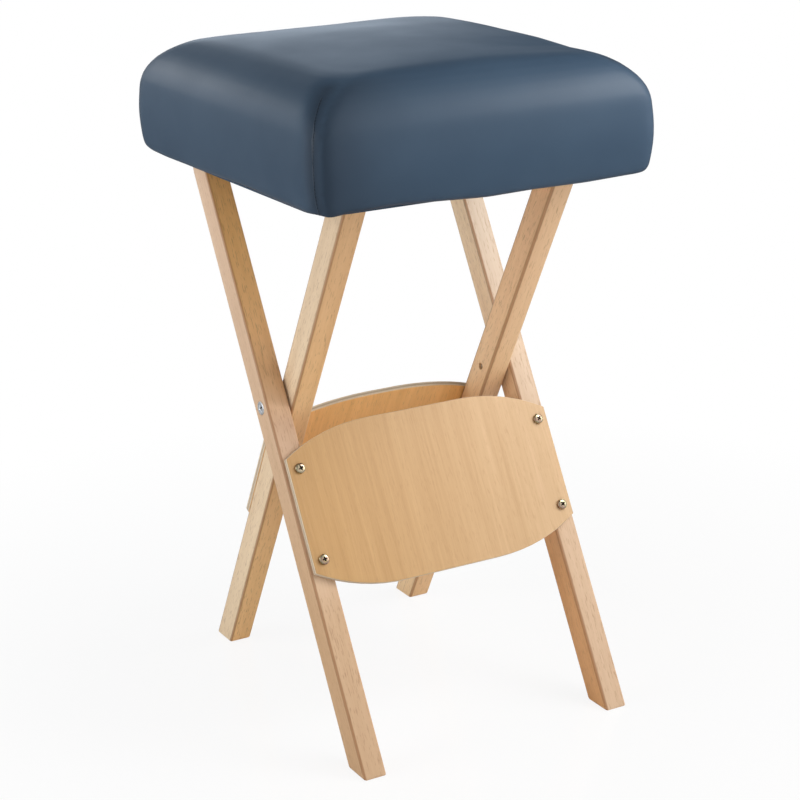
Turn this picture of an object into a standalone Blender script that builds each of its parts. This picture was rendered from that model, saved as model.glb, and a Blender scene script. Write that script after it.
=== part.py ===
"""Folding stool: a padded seat on two crossed wooden leg frames.

The outer legs run from the front feet up to the back and carry the front panel. The inner legs run
from the back feet up to the front, carry the back panel and hinge the seat at their tops. A bolt
through each pair of legs is the scissor pivot. A steel rod between the tops of the outer legs rests in
a notch under each seat batten, which holds the stool open. The seat is hollow below its board, and the
tops of the legs reach up into it.

Lengths are in metres. +X is the right side seen from the front, +Y runs to the back and +Z is up. The
origin lies on the floor under the middle of the stool's outline.
"""
from math import acos, asin, ceil, cos, pi, radians, sin, tan

import bmesh
import bpy
from mathutils import Matrix

# Leg frames
FRAME_WIDTH = 0.280  # over the outer faces of the outer legs
LEG_WIDTH = 0.0224  # across the stool
LEG_DEPTH = 0.027  # square to the leg, in side view
LEG_ROUND = 0.002
LEG_SPACING = 0.0016  # between faces that turn past each other
LEG_ANGLE = radians(29.14)  # from upright
PIVOT_HEIGHT = 0.296

# Panels
PANEL_THICKNESS = 0.006
PANEL_EDGE_ROUND = 0.0006
PANEL_DROP = 0.106  # pivot to panel middle, along the leg
PANEL_INSET = 0.0025  # from the outer face of its legs to the side of the front panel
FRONT_PANEL_SIDE = 0.106  # length of the straight side
FRONT_PANEL_STRAIGHT = 0.100  # straight middle of the long edges
FRONT_PANEL_ARCH = 0.175  # radius from the straight middle to the corners
BACK_PANEL_INSET = 0.0005
BACK_PANEL_SIDE = 0.115
BACK_PANEL_STRAIGHT = 0.028
BACK_PANEL_ARCH = 0.250

# Panel screws
PANEL_SCREW_PITCH = 0.0845
PANEL_SCREW_INSET = 0.013  # from the outer face of the leg
PANEL_SCREW_LENGTH = 0.020
PANEL_SCREW_RADIUS = 0.0021
PANEL_SCREW_HEAD_RADIUS = 0.0049
PANEL_SCREW_HEAD_HEIGHT = 0.0032

# Scissor pivots
BOLT_RADIUS = 0.003
PIVOT_HEAD_RADIUS = 0.0062
PIVOT_HEAD_HEIGHT = 0.0016
PIVOT_HEAD_PROUD = 0.0005
PIVOT_END_DEPTH = 0.0025  # bolt end below the inner leg's inner face
PIVOT_END_HOLE_RADIUS = 0.0036
INSERT_RADIUS = 0.0046
INSERT_LENGTH = 0.016
WASHER_RADIUS = 0.008

# Seat hinges
HINGE_DROP = 0.004  # hinge axis below the seat's underside
HINGE_HEAD_RADIUS = 0.0052
HINGE_HEAD_HEIGHT = 0.004
NUT_RADIUS = 0.0058  # over corners
NUT_HEIGHT = 0.005
BOLT_END_PROUD = 0.001  # past the nut

# Catch rod and battens
ROD_RADIUS = 0.004
ROD_SETBACK = 0.005  # nearer the scissor pivot than the seat hinge is
ROD_SOCKET_DEPTH = 0.012
BATTEN_WIDTH = 0.020
BATTEN_NOSE_RADIUS = 0.009  # round the hinge axis
BATTEN_TAIL = 0.027  # past the rod
BATTEN_TAPER_END = 0.060  # ahead of the rod
BATTEN_HOOK = 0.007  # below the rod's axis
BATTEN_ROUND = 0.001
NOTCH_SLANT = radians(38)  # of the notch's front wall, from upright
BATTEN_SCREW_FIRST = 0.040  # behind the hinge axis
BATTEN_SCREW_PITCH = 0.062
BATTEN_SCREWS_EACH = 3
BATTEN_SCREW_LENGTH = 0.030
BATTEN_SCREW_RADIUS = 0.002
BATTEN_SCREW_HEAD_RADIUS = 0.004
BATTEN_SCREW_HEAD_HEIGHT = 0.0026
BATTEN_SCREW_COVER = 0.0025  # board left above the screw's tip

# Seat
SEAT_UNDERSIDE = 0.506
SEAT_WIDTH = 0.338
SEAT_DEPTH = 0.3635
SEAT_SETBACK = 0.0039  # seat middle behind the scissor pivot
SEAT_THICKNESS = 0.1195  # underside to crown
RIM_DROP = 0.0145  # crown to the top rim
RIM_INSET = 0.022
RIM_CORNER = 0.060
SHOULDER_DROP = 0.0415
SHOULDER_INSET = 0.008
SHOULDER_CORNER = 0.045
BELLY_DROP = 0.0575
BELLY_BULGE = 0.001
SKIRT_HEIGHT = 0.028
SIDE_CORNER = 0.035  # corner to the next row of the cage, on the sides
TOP_RING_INSET = 0.075
TOP_RING_DROP = 0.0011
COVER_THICKNESS = 0.0012
COVER_FLAP = 0.030  # turned under, before the opening is cut
BOARD_THICKNESS = 0.012
BOARD_INSET = 0.0195  # from the side of the seat
BOARD_CORNER_RADIUS = 0.020
SPACER_WIDTH = 0.007  # frame under the board's edge, round the opening
SPACER_HEIGHT = 0.016
DUST_COVER_THICKNESS = 0.0006
DUST_COVER_INSET = 0.028
STAPLES_EACH_SIDE = 3
STAPLE_PITCH = 0.060
STAPLE_INSET = 0.023
STAPLE_CROWN = 0.010
STAPLE_WIRE = 0.0009
STAPLE_LENGTH = 0.009

# Clearance between pieces, and how round things are divided
GAP = 0.0003
WELD = 0.00001
ROUND_SIDES = 16
ARC_SAG = 0.0001  # of an arc over its chords
CUT_PAST = 0.001  # cutters past the faces they open

# Places that follow from the sizes
OUTER_FACE = FRAME_WIDTH / 2
OUTER_LEG_X = OUTER_FACE - LEG_WIDTH / 2
INNER_FACE = OUTER_FACE - LEG_WIDTH - LEG_SPACING  # outer face of the inner legs
INNER_LEG_X = INNER_FACE - LEG_WIDTH / 2
BATTEN_X = INNER_FACE - LEG_WIDTH - LEG_SPACING - BATTEN_WIDTH / 2
HINGE_HEIGHT = SEAT_UNDERSIDE - HINGE_DROP
HINGE_REACH = (HINGE_HEIGHT - PIVOT_HEIGHT) / cos(LEG_ANGLE)  # from the pivot, along the leg
ROD_REACH = HINGE_REACH - ROD_SETBACK
FOOT_REACH = PIVOT_HEIGHT * tan(LEG_ANGLE) + LEG_DEPTH / 2 / cos(LEG_ANGLE)
SEAT_BACK_REACH = SEAT_SETBACK + SEAT_DEPTH / 2
PIVOT_Y = (FOOT_REACH - SEAT_BACK_REACH) / 2
HINGE_Y = PIVOT_Y - HINGE_REACH * sin(LEG_ANGLE)
SEAT_Y = PIVOT_Y + SEAT_SETBACK - HINGE_Y  # seat middle behind the hinge axis
ROD_Y = (ROD_REACH + HINGE_REACH) * sin(LEG_ANGLE)  # rod behind the hinge axis
ROD_Z = (ROD_REACH - HINGE_REACH) * cos(LEG_ANGLE)  # rod above the hinge axis
FLAP_LIFT = SKIRT_HEIGHT / 40  # the flap rises this far by the edge of the board
SPACER_BOTTOM = HINGE_DROP + COVER_THICKNESS + FLAP_LIFT + GAP
BOARD_BOTTOM = SPACER_BOTTOM + SPACER_HEIGHT + GAP
DUST_COVER_TOP = BOARD_BOTTOM - GAP
BATTEN_TOP = DUST_COVER_TOP - DUST_COVER_THICKNESS - GAP
BATTEN_BOTTOM = ROD_Z - BATTEN_HOOK
WASHER_THICKNESS = LEG_SPACING - 2 * GAP

SIDES = ((-1, "left"), (1, "right"))

# Colour, roughness and metallic value of each finish
BEECH = ((0.66, 0.41, 0.24), 0.45, 0.0)
VENEER = ((0.70, 0.46, 0.24), 0.42, 0.0)
PINE = ((0.62, 0.43, 0.24), 0.60, 0.0)
PLYWOOD = ((0.55, 0.39, 0.23), 0.65, 0.0)
NAVY_VINYL = ((0.055, 0.089, 0.136), 0.38, 0.0)
FOAM = ((0.78, 0.72, 0.50), 0.95, 0.0)
BLACK_CLOTH = ((0.012, 0.012, 0.013), 0.90, 0.0)
BRIGHT_ZINC = ((0.72, 0.72, 0.70), 0.28, 1.0)
YELLOW_ZINC = ((0.74, 0.62, 0.40), 0.30, 1.0)
BRASS = ((0.72, 0.55, 0.25), 0.35, 1.0)
NYLON = ((0.80, 0.79, 0.74), 0.55, 0.0)

# Axes of a flat outline: its first axis, its second axis and its thickness
SIDE_VIEW = Matrix(((0, 0, 1), (1, 0, 0), (0, 1, 0))).to_4x4()
FRONT_VIEW = Matrix(((1, 0, 0), (0, 0, -1), (0, 1, 0))).to_4x4()
TOP_VIEW = Matrix.Identity(4)


def clear_scene():
    for old in list(bpy.data.objects):
        bpy.data.objects.remove(old)


def new_collection(name):
    collection = bpy.data.collections.new(name)
    bpy.context.scene.collection.children.link(collection)
    return collection


def finish_material(name, finish):
    colour, roughness, metallic = finish
    material = bpy.data.materials.new(name)
    material.use_nodes = True
    shader = material.node_tree.nodes["Principled BSDF"]
    shader.inputs["Base Color"].default_value = (*colour, 1)
    shader.inputs["Roughness"].default_value = roughness
    shader.inputs["Metallic"].default_value = metallic
    return material


def axis_empty(name, location, tilt=0):
    """An empty on a joint's axis, turned about X."""
    empty = bpy.data.objects.new(name, None)
    parts.objects.link(empty)
    empty.location = location
    empty.rotation_euler = (tilt, 0, 0)
    return empty


def add_part(name, mesh, finish, parent, location=(0, 0, 0), rotation=(0, 0, 0)):
    part = bpy.data.objects.new(name, mesh)
    parts.objects.link(part)
    mesh.materials.append(finish_material(name, finish))
    part.parent = parent
    part.location = location
    part.rotation_euler = rotation
    return part


def add_cutter(name, mesh, parent, location=(0, 0, 0), rotation=(0, 0, 0)):
    cutter = bpy.data.objects.new(name, mesh)
    cutters.objects.link(cutter)
    cutter.parent = parent
    cutter.location = location
    cutter.rotation_euler = rotation
    cutter.hide_render = True
    cutter.display_type = "WIRE"
    return cutter


def cut(part, *shapes):
    """Adds shapes to those taken out of a part, all in one step."""
    boolean = part.modifiers.get("holes")
    if boolean is None:
        boolean = part.modifiers.new("holes", "BOOLEAN")
        boolean.operation = "DIFFERENCE"
        boolean.solver = "EXACT"
        boolean.operand_type = "COLLECTION"
        boolean.collection = bpy.data.collections.new(part.name + "_holes")
    for shape in shapes:
        boolean.collection.objects.link(shape)


def round_edges(part, width, segments):
    bevel = part.modifiers.new("rounded edges", "BEVEL")
    bevel.width = width
    bevel.segments = segments
    bevel.limit_method = "ANGLE"
    bevel.angle_limit = radians(32)


def arc(centre, radius, start, end):
    """Points on a circle from one angle to another, counted from the first axis."""
    steps = ceil(abs(end - start) / (2 * acos(1 - ARC_SAG / radius)))
    angles = [start + (end - start) * i / steps for i in range(steps + 1)]
    return [(centre[0] + radius * cos(a), centre[1] + radius * sin(a)) for a in angles]


def rounded_rectangle(width, depth, radius, middle):
    """Outline of a rectangle with round corners, about a middle on the second axis."""
    across = width / 2 - radius
    along = depth / 2 - radius
    outline = []
    for quarter, (u, v) in enumerate(((1, 1), (-1, 1), (-1, -1), (1, -1))):
        start = quarter * pi / 2
        outline += arc((u * across, middle + v * along), radius, start, start + pi / 2)
    return outline


def outline_mesh(name, outline, thickness, view):
    """A flat outline, extruded by half its thickness to each side of its plane."""
    curve = bpy.data.curves.new(name, "CURVE")
    curve.dimensions = "2D"
    curve.fill_mode = "BOTH"
    curve.extrude = thickness / 2
    spline = curve.splines.new("POLY")
    spline.points.add(len(outline) - 1)
    for point, place in zip(spline.points, outline):
        point.co = (*place, 0, 1)
    spline.use_cyclic_u = True
    guide = bpy.data.objects.new(name, curve)
    parts.objects.link(guide)
    evaluated = guide.evaluated_get(bpy.context.evaluated_depsgraph_get())
    mesh = bpy.data.meshes.new_from_object(evaluated)
    bpy.data.objects.remove(guide)
    bpy.data.curves.remove(curve)
    welded = bmesh.new()
    welded.from_mesh(mesh)
    bmesh.ops.remove_doubles(welded, verts=welded.verts, dist=WELD)
    bmesh.ops.dissolve_limit(welded, angle_limit=radians(0.5), verts=welded.verts, edges=welded.edges)
    bmesh.ops.transform(welded, matrix=view, verts=welded.verts)
    welded.to_mesh(mesh)
    welded.free()
    mesh.name = name
    return mesh


def cylinder_mesh(name, radius, bottom, top, sides=ROUND_SIDES):
    """A cylinder or prism along its own Z, between two heights."""
    shape = bmesh.new()
    middle = Matrix.Translation((0, 0, (bottom + top) / 2))
    bmesh.ops.create_cone(
        shape, cap_ends=True, segments=sides, radius1=radius, radius2=radius,
        depth=top - bottom, matrix=middle,
    )
    mesh = bpy.data.meshes.new(name)
    shape.to_mesh(mesh)
    shape.free()
    return mesh


def profile_mesh(name, profile, closed=False):
    """Edges joining (radius, height) points, from the top down the outer side."""
    count = len(profile)
    edges = [(i, i + 1) for i in range(count - 1)]
    if closed:
        edges.append((count - 1, 0))
    mesh = bpy.data.meshes.new(name)
    mesh.from_pydata([(radius, 0, height) for radius, height in profile], edges, [])
    return mesh


def turn(part):
    """Spins a part's profile about its own Z."""
    screw = part.modifiers.new("turned", "SCREW")
    screw.axis = "Z"
    screw.angle = 2 * pi
    screw.steps = ROUND_SIDES
    screw.render_steps = ROUND_SIDES
    screw.use_merge_vertices = True
    screw.merge_threshold = WELD
    screw.use_smooth_shade = True


def pan_head_profile(head_radius, head_height, radius, length):
    """A pan-head screw with its head's underside at height 0."""
    return (
        (0, head_height),
        (head_radius * 0.55, head_height * 0.95),
        (head_radius * 0.88, head_height * 0.62),
        (head_radius, head_height * 0.15),
        (head_radius, 0),
        (radius, 0),
        (radius, radius * 2 - length),
        (radius * 0.3, -length),
        (0, -length),
    )


def flat_head_profile(head_radius, top, seat, radius, end):
    """A flat-headed bolt between the heights of its head and its end."""
    return (
        (0, top),
        (head_radius, top),
        (head_radius, seat),
        (radius, seat),
        (radius, end),
        (0, end),
    )


def ring_profile(bore, radius, top, bottom):
    return ((bore, top), (radius, top), (radius, bottom), (bore, bottom))


def outward(side):
    """Turns a piece's own Z to point out of the stool on one side."""
    return (0, side * pi / 2, 0)


def leg_outline(lean, end_reach):
    """A leg in side view, with its round end on the axis it carries and its foot cut level.

    lean is 1 where the leg's front face looks up and -1 where its back face does.
    """
    half = LEG_DEPTH / 2

    def floor_at(across):
        return (lean * across * sin(LEG_ANGLE) - PIVOT_HEIGHT) / cos(LEG_ANGLE)

    foot = [(-half, floor_at(-half)), (half, floor_at(half))]
    return foot + arc((0, end_reach), half, 0, pi)


def panel_outline(half_width, side, straight, arch_radius):
    """Straight sides, and long edges that curve from a straight middle down to the corners."""
    sweep = asin((half_width - straight / 2) / arch_radius)
    top = side / 2 + arch_radius * (1 - cos(sweep))
    right = arc((straight / 2, top - arch_radius), arch_radius, pi / 2 - sweep, pi / 2)
    upper = right + [(-across, along) for across, along in reversed(right)]
    return upper + [(-across, -along) for across, along in upper]


def batten_outline():
    """A batten in side view: round nose on the hinge axis, tapered underside and open notch for the rod."""
    notch_radius = ROD_RADIUS + GAP
    front = pi - NOTCH_SLANT
    front_y = ROD_Y + notch_radius * cos(front)
    front_z = ROD_Z + notch_radius * sin(front)
    mouth_y = front_y - (front_z - BATTEN_BOTTOM) * tan(NOTCH_SLANT)
    notch = [(ROD_Y + notch_radius, BATTEN_BOTTOM)]
    notch += arc((ROD_Y, ROD_Z), notch_radius, 0, front)
    notch.append((mouth_y, BATTEN_BOTTOM))
    tail = [(ROD_Y + BATTEN_TAIL, BATTEN_TOP), (ROD_Y + BATTEN_TAIL, BATTEN_BOTTOM)]
    taper = [(ROD_Y - BATTEN_TAPER_END, BATTEN_BOTTOM)]
    nose = arc((0, 0), BATTEN_NOSE_RADIUS, -pi / 2, -pi)
    return [(-BATTEN_NOSE_RADIUS, BATTEN_TOP)] + tail + notch + taper + nose


def staple_outline():
    """A staple standing on its crown."""
    half = STAPLE_CROWN / 2
    inner = half - STAPLE_WIRE
    right = [(half, 0), (half, STAPLE_LENGTH), (inner, STAPLE_LENGTH), (inner, STAPLE_WIRE)]
    return right + [(-across, along) for across, along in reversed(right)]


def add_leg(name, parent, lean, x, end_reach):
    mesh = outline_mesh(name, leg_outline(lean, end_reach), LEG_WIDTH, SIDE_VIEW)
    leg = add_part(name, mesh, BEECH, parent, (x, 0, 0))
    round_edges(leg, LEG_ROUND, 2)
    return leg


def add_turned(name, profile, finish, parent, place, rotation, closed=False):
    part = add_part(name, profile_mesh(name, profile, closed), finish, parent, place, rotation)
    turn(part)
    return part


def add_bore(name, radius, bottom, top, parent, place, rotation):
    return add_cutter(name, cylinder_mesh(name, radius, bottom, top), parent, place, rotation)


def add_panel(name, parent, facing, outline):
    """A panel on the faces of its two legs. facing is -1 to the front and 1 to the back."""
    middle = facing * (LEG_DEPTH / 2 + GAP + PANEL_THICKNESS / 2)
    mesh = outline_mesh(name, outline, PANEL_THICKNESS, FRONT_VIEW)
    panel = add_part(name, mesh, VENEER, parent, (0, middle, -PANEL_DROP))
    round_edges(panel, PANEL_EDGE_ROUND, 1)
    return panel


def add_panel_screws(panel, facing, legs, leg_face):
    """Two screws on each side, through a panel into the leg behind it."""
    frame_axis = panel.parent
    across = leg_face - PANEL_SCREW_INSET
    seat = facing * (LEG_DEPTH / 2 + PANEL_THICKNESS + 2 * GAP)
    rotation = (-facing * pi / 2, 0, 0)
    profile = pan_head_profile(
        PANEL_SCREW_HEAD_RADIUS, PANEL_SCREW_HEAD_HEIGHT, PANEL_SCREW_RADIUS, PANEL_SCREW_LENGTH
    )
    for (side, hand), leg in zip(SIDES, legs):
        for level, word in ((1, "upper"), (-1, "lower")):
            name = f"{panel.name}_screw_{word}_{hand}"
            place = (side * across, seat, level * PANEL_SCREW_PITCH / 2 - PANEL_DROP)
            add_turned(name, profile, YELLOW_ZINC, frame_axis, place, rotation)
            hole = add_bore(
                name + "_hole", PANEL_SCREW_RADIUS + GAP, -PANEL_SCREW_LENGTH - GAP, CUT_PAST,
                frame_axis, place, rotation,
            )
            cut(panel, hole)
            cut(leg, hole)


def add_pivot(side, hand, outer_leg, inner_leg):
    """A bolt through both legs of one side, a washer between them and a threaded insert."""
    place = (side * OUTER_FACE, 0, 0)
    rotation = outward(side)
    bore = BOLT_RADIUS + GAP
    seat = PIVOT_HEAD_PROUD - PIVOT_HEAD_HEIGHT
    far_leg = -LEG_WIDTH - LEG_SPACING
    far_face = far_leg - LEG_WIDTH
    insert_end = far_leg - INSERT_LENGTH
    bolt = flat_head_profile(
        PIVOT_HEAD_RADIUS, PIVOT_HEAD_PROUD, seat, BOLT_RADIUS, far_face + PIVOT_END_DEPTH
    )
    washer = ring_profile(bore, WASHER_RADIUS, -LEG_WIDTH - GAP, -LEG_WIDTH - GAP - WASHER_THICKNESS)
    insert = ring_profile(bore, INSERT_RADIUS, far_leg, insert_end)
    add_turned(f"pivot_bolt_{hand}", bolt, BRIGHT_ZINC, inner_axis, place, rotation)
    add_turned(f"pivot_washer_{hand}", washer, NYLON, inner_axis, place, rotation, closed=True)
    add_turned(f"pivot_insert_{hand}", insert, BRASS, inner_axis, place, rotation, closed=True)
    cut(
        outer_leg,
        add_bore(f"pivot_bore_{hand}", bore, -LEG_WIDTH - CUT_PAST, CUT_PAST, outer_axis, place, rotation),
        add_bore(
            f"pivot_head_seat_{hand}", PIVOT_HEAD_RADIUS + GAP, seat - GAP, CUT_PAST,
            outer_axis, place, rotation,
        ),
    )
    cut(
        inner_leg,
        add_bore(
            f"pivot_insert_seat_{hand}", INSERT_RADIUS + GAP, insert_end - GAP, far_leg + CUT_PAST,
            inner_axis, place, rotation,
        ),
        add_bore(
            f"pivot_end_hole_{hand}", PIVOT_END_HOLE_RADIUS, far_face - CUT_PAST, insert_end,
            inner_axis, place, rotation,
        ),
    )


def add_catch_rod(legs):
    """The rod between the tops of the outer legs, set into a blind socket in each."""
    place = (0, 0, ROD_REACH)
    leg_face = OUTER_FACE - LEG_WIDTH
    half = leg_face + ROD_SOCKET_DEPTH
    mesh = cylinder_mesh("catch_rod", ROD_RADIUS, -half, half)
    add_part("catch_rod", mesh, BRIGHT_ZINC, outer_axis, place, outward(1))
    mesh.shade_smooth()
    mesh.set_sharp_from_angle(angle=radians(40))
    for (side, hand), leg in zip(SIDES, legs):
        socket = add_bore(
            f"rod_socket_{hand}", ROD_RADIUS + GAP, leg_face - CUT_PAST, half + GAP,
            outer_axis, place, outward(side),
        )
        cut(leg, socket)


def add_seat_hinge(side, hand, leg, batten):
    """A bolt sunk in the leg's outer face, through a washer and the batten to a nut."""
    rotation = outward(side)
    leg_place = (side * INNER_FACE, 0, HINGE_REACH)
    seat_place = (side * INNER_FACE, 0, 0)
    bore = BOLT_RADIUS + GAP
    seat = -GAP - HINGE_HEAD_HEIGHT
    washer_top = -LEG_WIDTH - GAP
    nut_top = -LEG_WIDTH - LEG_SPACING - BATTEN_WIDTH - GAP
    nut_end = nut_top - NUT_HEIGHT
    bolt = flat_head_profile(HINGE_HEAD_RADIUS, -GAP, seat, BOLT_RADIUS, nut_end - BOLT_END_PROUD)
    washer = ring_profile(bore, WASHER_RADIUS, washer_top, washer_top - WASHER_THICKNESS)
    add_turned(f"hinge_bolt_{hand}", bolt, BRIGHT_ZINC, inner_axis, leg_place, rotation)
    add_turned(f"hinge_washer_{hand}", washer, NYLON, inner_axis, leg_place, rotation, closed=True)
    nut_mesh = cylinder_mesh(f"hinge_nut_{hand}", NUT_RADIUS, nut_end, nut_top, sides=6)
    nut = add_part(f"hinge_nut_{hand}", nut_mesh, BRIGHT_ZINC, inner_axis, leg_place, rotation)
    leg_bore = add_bore(
        f"hinge_bore_{hand}", bore, nut_end - CUT_PAST, CUT_PAST, inner_axis, leg_place, rotation
    )
    head_seat = add_bore(
        f"hinge_head_seat_{hand}", HINGE_HEAD_RADIUS + GAP, seat - GAP, CUT_PAST,
        inner_axis, leg_place, rotation,
    )
    batten_bore = add_bore(
        f"batten_bore_{hand}", bore, nut_end, -LEG_WIDTH, seat_axis, seat_place, rotation
    )
    cut(leg, leg_bore, head_seat)
    cut(nut, leg_bore)
    cut(batten, batten_bore)


def add_batten(side, hand):
    name = f"batten_{hand}"
    mesh = outline_mesh(name, batten_outline(), BATTEN_WIDTH, SIDE_VIEW)
    batten = add_part(name, mesh, PINE, seat_axis, (side * BATTEN_X, 0, 0))
    round_edges(batten, BATTEN_ROUND, 1)
    return batten


def add_batten_screws(side, hand, batten, board, dust_cover):
    """Screws sunk in the batten from below, through the dust cover into the board."""
    seat = BOARD_BOTTOM + BOARD_THICKNESS - BATTEN_SCREW_COVER - BATTEN_SCREW_LENGTH
    profile = pan_head_profile(
        BATTEN_SCREW_HEAD_RADIUS, BATTEN_SCREW_HEAD_HEIGHT, BATTEN_SCREW_RADIUS, BATTEN_SCREW_LENGTH
    )
    depth = seat - BATTEN_BOTTOM + CUT_PAST
    for i in range(BATTEN_SCREWS_EACH):
        name = f"batten_screw_{hand}_{i + 1}"
        place = (side * BATTEN_X, BATTEN_SCREW_FIRST + i * BATTEN_SCREW_PITCH, seat)
        rotation = (pi, 0, 0)
        add_turned(name, profile, YELLOW_ZINC, seat_axis, place, rotation)
        hole = add_bore(
            name + "_hole", BATTEN_SCREW_RADIUS + GAP, -BATTEN_SCREW_LENGTH - GAP, 0,
            seat_axis, place, rotation,
        )
        head_hole = add_bore(
            name + "_head_hole", BATTEN_SCREW_HEAD_RADIUS + GAP, -GAP, depth, seat_axis, place, rotation
        )
        cut(batten, hole, head_hole)
        cut(board, hole)
        cut(dust_cover, hole)


def cage_point(u, v, w, inset):
    """Where a point of the cushion's cage lies, from its place on a cube of five rows each way.

    Each row of the sides has its own inset, height and distance to the next row round the corner. The
    rows at the bottom turn under the board, and those on top rise to the crown.
    """
    side_rows = (
        (0, 0, SIDE_CORNER),
        (0, SKIRT_HEIGHT, SIDE_CORNER),
        (-BELLY_BULGE, SEAT_THICKNESS - BELLY_DROP, SIDE_CORNER),
        (SHOULDER_INSET, SEAT_THICKNESS - SHOULDER_DROP, SHOULDER_CORNER),
        (RIM_INSET, SEAT_THICKNESS - RIM_DROP, RIM_CORNER),
    )
    row = round(2 * (w + 1))
    row_inset, height, corner = side_rows[row]
    on_side = max(abs(u), abs(v)) == 1
    if not on_side and row == 0:
        row_inset = corner = COVER_FLAP
    if not on_side and row == 4:
        row_inset = corner = TOP_RING_INSET
        height = SEAT_THICKNESS - (TOP_RING_DROP if u or v else 0)
    place = []
    for share, half in ((u, SEAT_WIDTH / 2), (v, SEAT_DEPTH / 2)):
        drawn_in = {0: half, 0.5: corner, 1: row_inset}[abs(share)]
        place.append((1 if share > 0 else -1) * (half - drawn_in) * (half - inset) / half)
    scale = (SEAT_THICKNESS - 2 * inset) / SEAT_THICKNESS
    return (place[0], place[1] + SEAT_Y, HINGE_DROP + inset + height * scale)


def cushion_mesh(name, inset, open_below):
    """The cushion's cage, drawn in all round, with its underside whole or open inside the flap."""
    cage = bmesh.new()
    bmesh.ops.create_cube(cage, size=2)
    bmesh.ops.subdivide_edges(cage, edges=cage.edges[:], cuts=3, use_grid_fill=True)
    middle = [
        face for face in cage.faces
        if all(vert.co.z < -0.9 and max(abs(vert.co.x), abs(vert.co.y)) < 0.6 for vert in face.verts)
    ]
    if open_below:
        bmesh.ops.delete(cage, geom=middle, context="FACES")
    for vert in cage.verts:
        share = [round(2 * axis) / 2 for axis in vert.co]
        vert.co = cage_point(*share, inset)
    mesh = bpy.data.meshes.new(name)
    cage.to_mesh(mesh)
    cage.free()
    mesh.shade_smooth()
    return mesh


def soften(part):
    subdivision = part.modifiers.new("soft form", "SUBSURF")
    subdivision.levels = 1
    subdivision.render_levels = 1


def add_cover():
    cover = add_part("seat_cover", cushion_mesh("seat_cover", 0, True), NAVY_VINYL, seat_axis)
    soften(cover)
    shell = cover.modifiers.new("vinyl thickness", "SOLIDIFY")
    shell.thickness = COVER_THICKNESS
    shell.offset = -1
    shell.use_even_offset = True
    return cover


def seat_layer(name, inset, corner_radius, bottom, top):
    """A flat layer of the seat, set in from the seat's sides, and the place of its middle."""
    width = SEAT_WIDTH - 2 * inset
    depth = SEAT_DEPTH - 2 * inset
    outline = rounded_rectangle(width, depth, corner_radius, SEAT_Y)
    return outline_mesh(name, outline, top - bottom, TOP_VIEW), (0, 0, (bottom + top) / 2)


def add_board():
    mesh, middle = seat_layer(
        "seat_board", BOARD_INSET, BOARD_CORNER_RADIUS, BOARD_BOTTOM, BOARD_BOTTOM + BOARD_THICKNESS
    )
    return add_part("seat_board", mesh, PLYWOOD, seat_axis, middle)


def add_spacer(cover):
    """The frame under the board's edge. The cover is cut away inside it, round the tops of the legs."""
    mesh, middle = seat_layer(
        "seat_spacer", BOARD_INSET, BOARD_CORNER_RADIUS, SPACER_BOTTOM, SPACER_BOTTOM + SPACER_HEIGHT
    )
    spacer = add_part("seat_spacer", mesh, PLYWOOD, seat_axis, middle)
    opening_mesh, opening_middle = seat_layer(
        "seat_opening", BOARD_INSET + SPACER_WIDTH, BOARD_CORNER_RADIUS - SPACER_WIDTH,
        HINGE_DROP - CUT_PAST, BOARD_BOTTOM,
    )
    opening = add_cutter("seat_opening", opening_mesh, seat_axis, opening_middle)
    cut(cover, opening)
    cut(spacer, opening)
    return spacer


def add_foam():
    """The foam fills the cover and wraps round the edges of the board and the spacer."""
    mesh = cushion_mesh("foam_pad", COVER_THICKNESS + GAP, False)
    foam = add_part("foam_pad", mesh, FOAM, seat_axis)
    soften(foam)
    pocket_mesh, middle = seat_layer(
        "board_pocket", BOARD_INSET - GAP, BOARD_CORNER_RADIUS + GAP,
        HINGE_DROP, BOARD_BOTTOM + BOARD_THICKNESS + GAP,
    )
    cut(foam, add_cutter("board_pocket", pocket_mesh, seat_axis, middle))


def add_dust_cover():
    mesh, middle = seat_layer(
        "dust_cover", DUST_COVER_INSET, BOARD_CORNER_RADIUS,
        DUST_COVER_TOP - DUST_COVER_THICKNESS, DUST_COVER_TOP,
    )
    return add_part("dust_cover", mesh, BLACK_CLOTH, seat_axis, middle)


def staple_places():
    """Name, place on the seat's underside and turn about Z of every staple."""
    across = SEAT_WIDTH / 2 - STAPLE_INSET
    along = SEAT_DEPTH / 2 - STAPLE_INSET
    for i in range(STAPLES_EACH_SIDE):
        offset = (i - (STAPLES_EACH_SIDE - 1) / 2) * STAPLE_PITCH
        yield f"staple_front_{i + 1}", (offset, SEAT_Y - along), 0
        yield f"staple_back_{i + 1}", (offset, SEAT_Y + along), 0
        yield f"staple_left_{i + 1}", (-across, SEAT_Y + offset), pi / 2
        yield f"staple_right_{i + 1}", (across, SEAT_Y + offset), pi / 2


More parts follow.
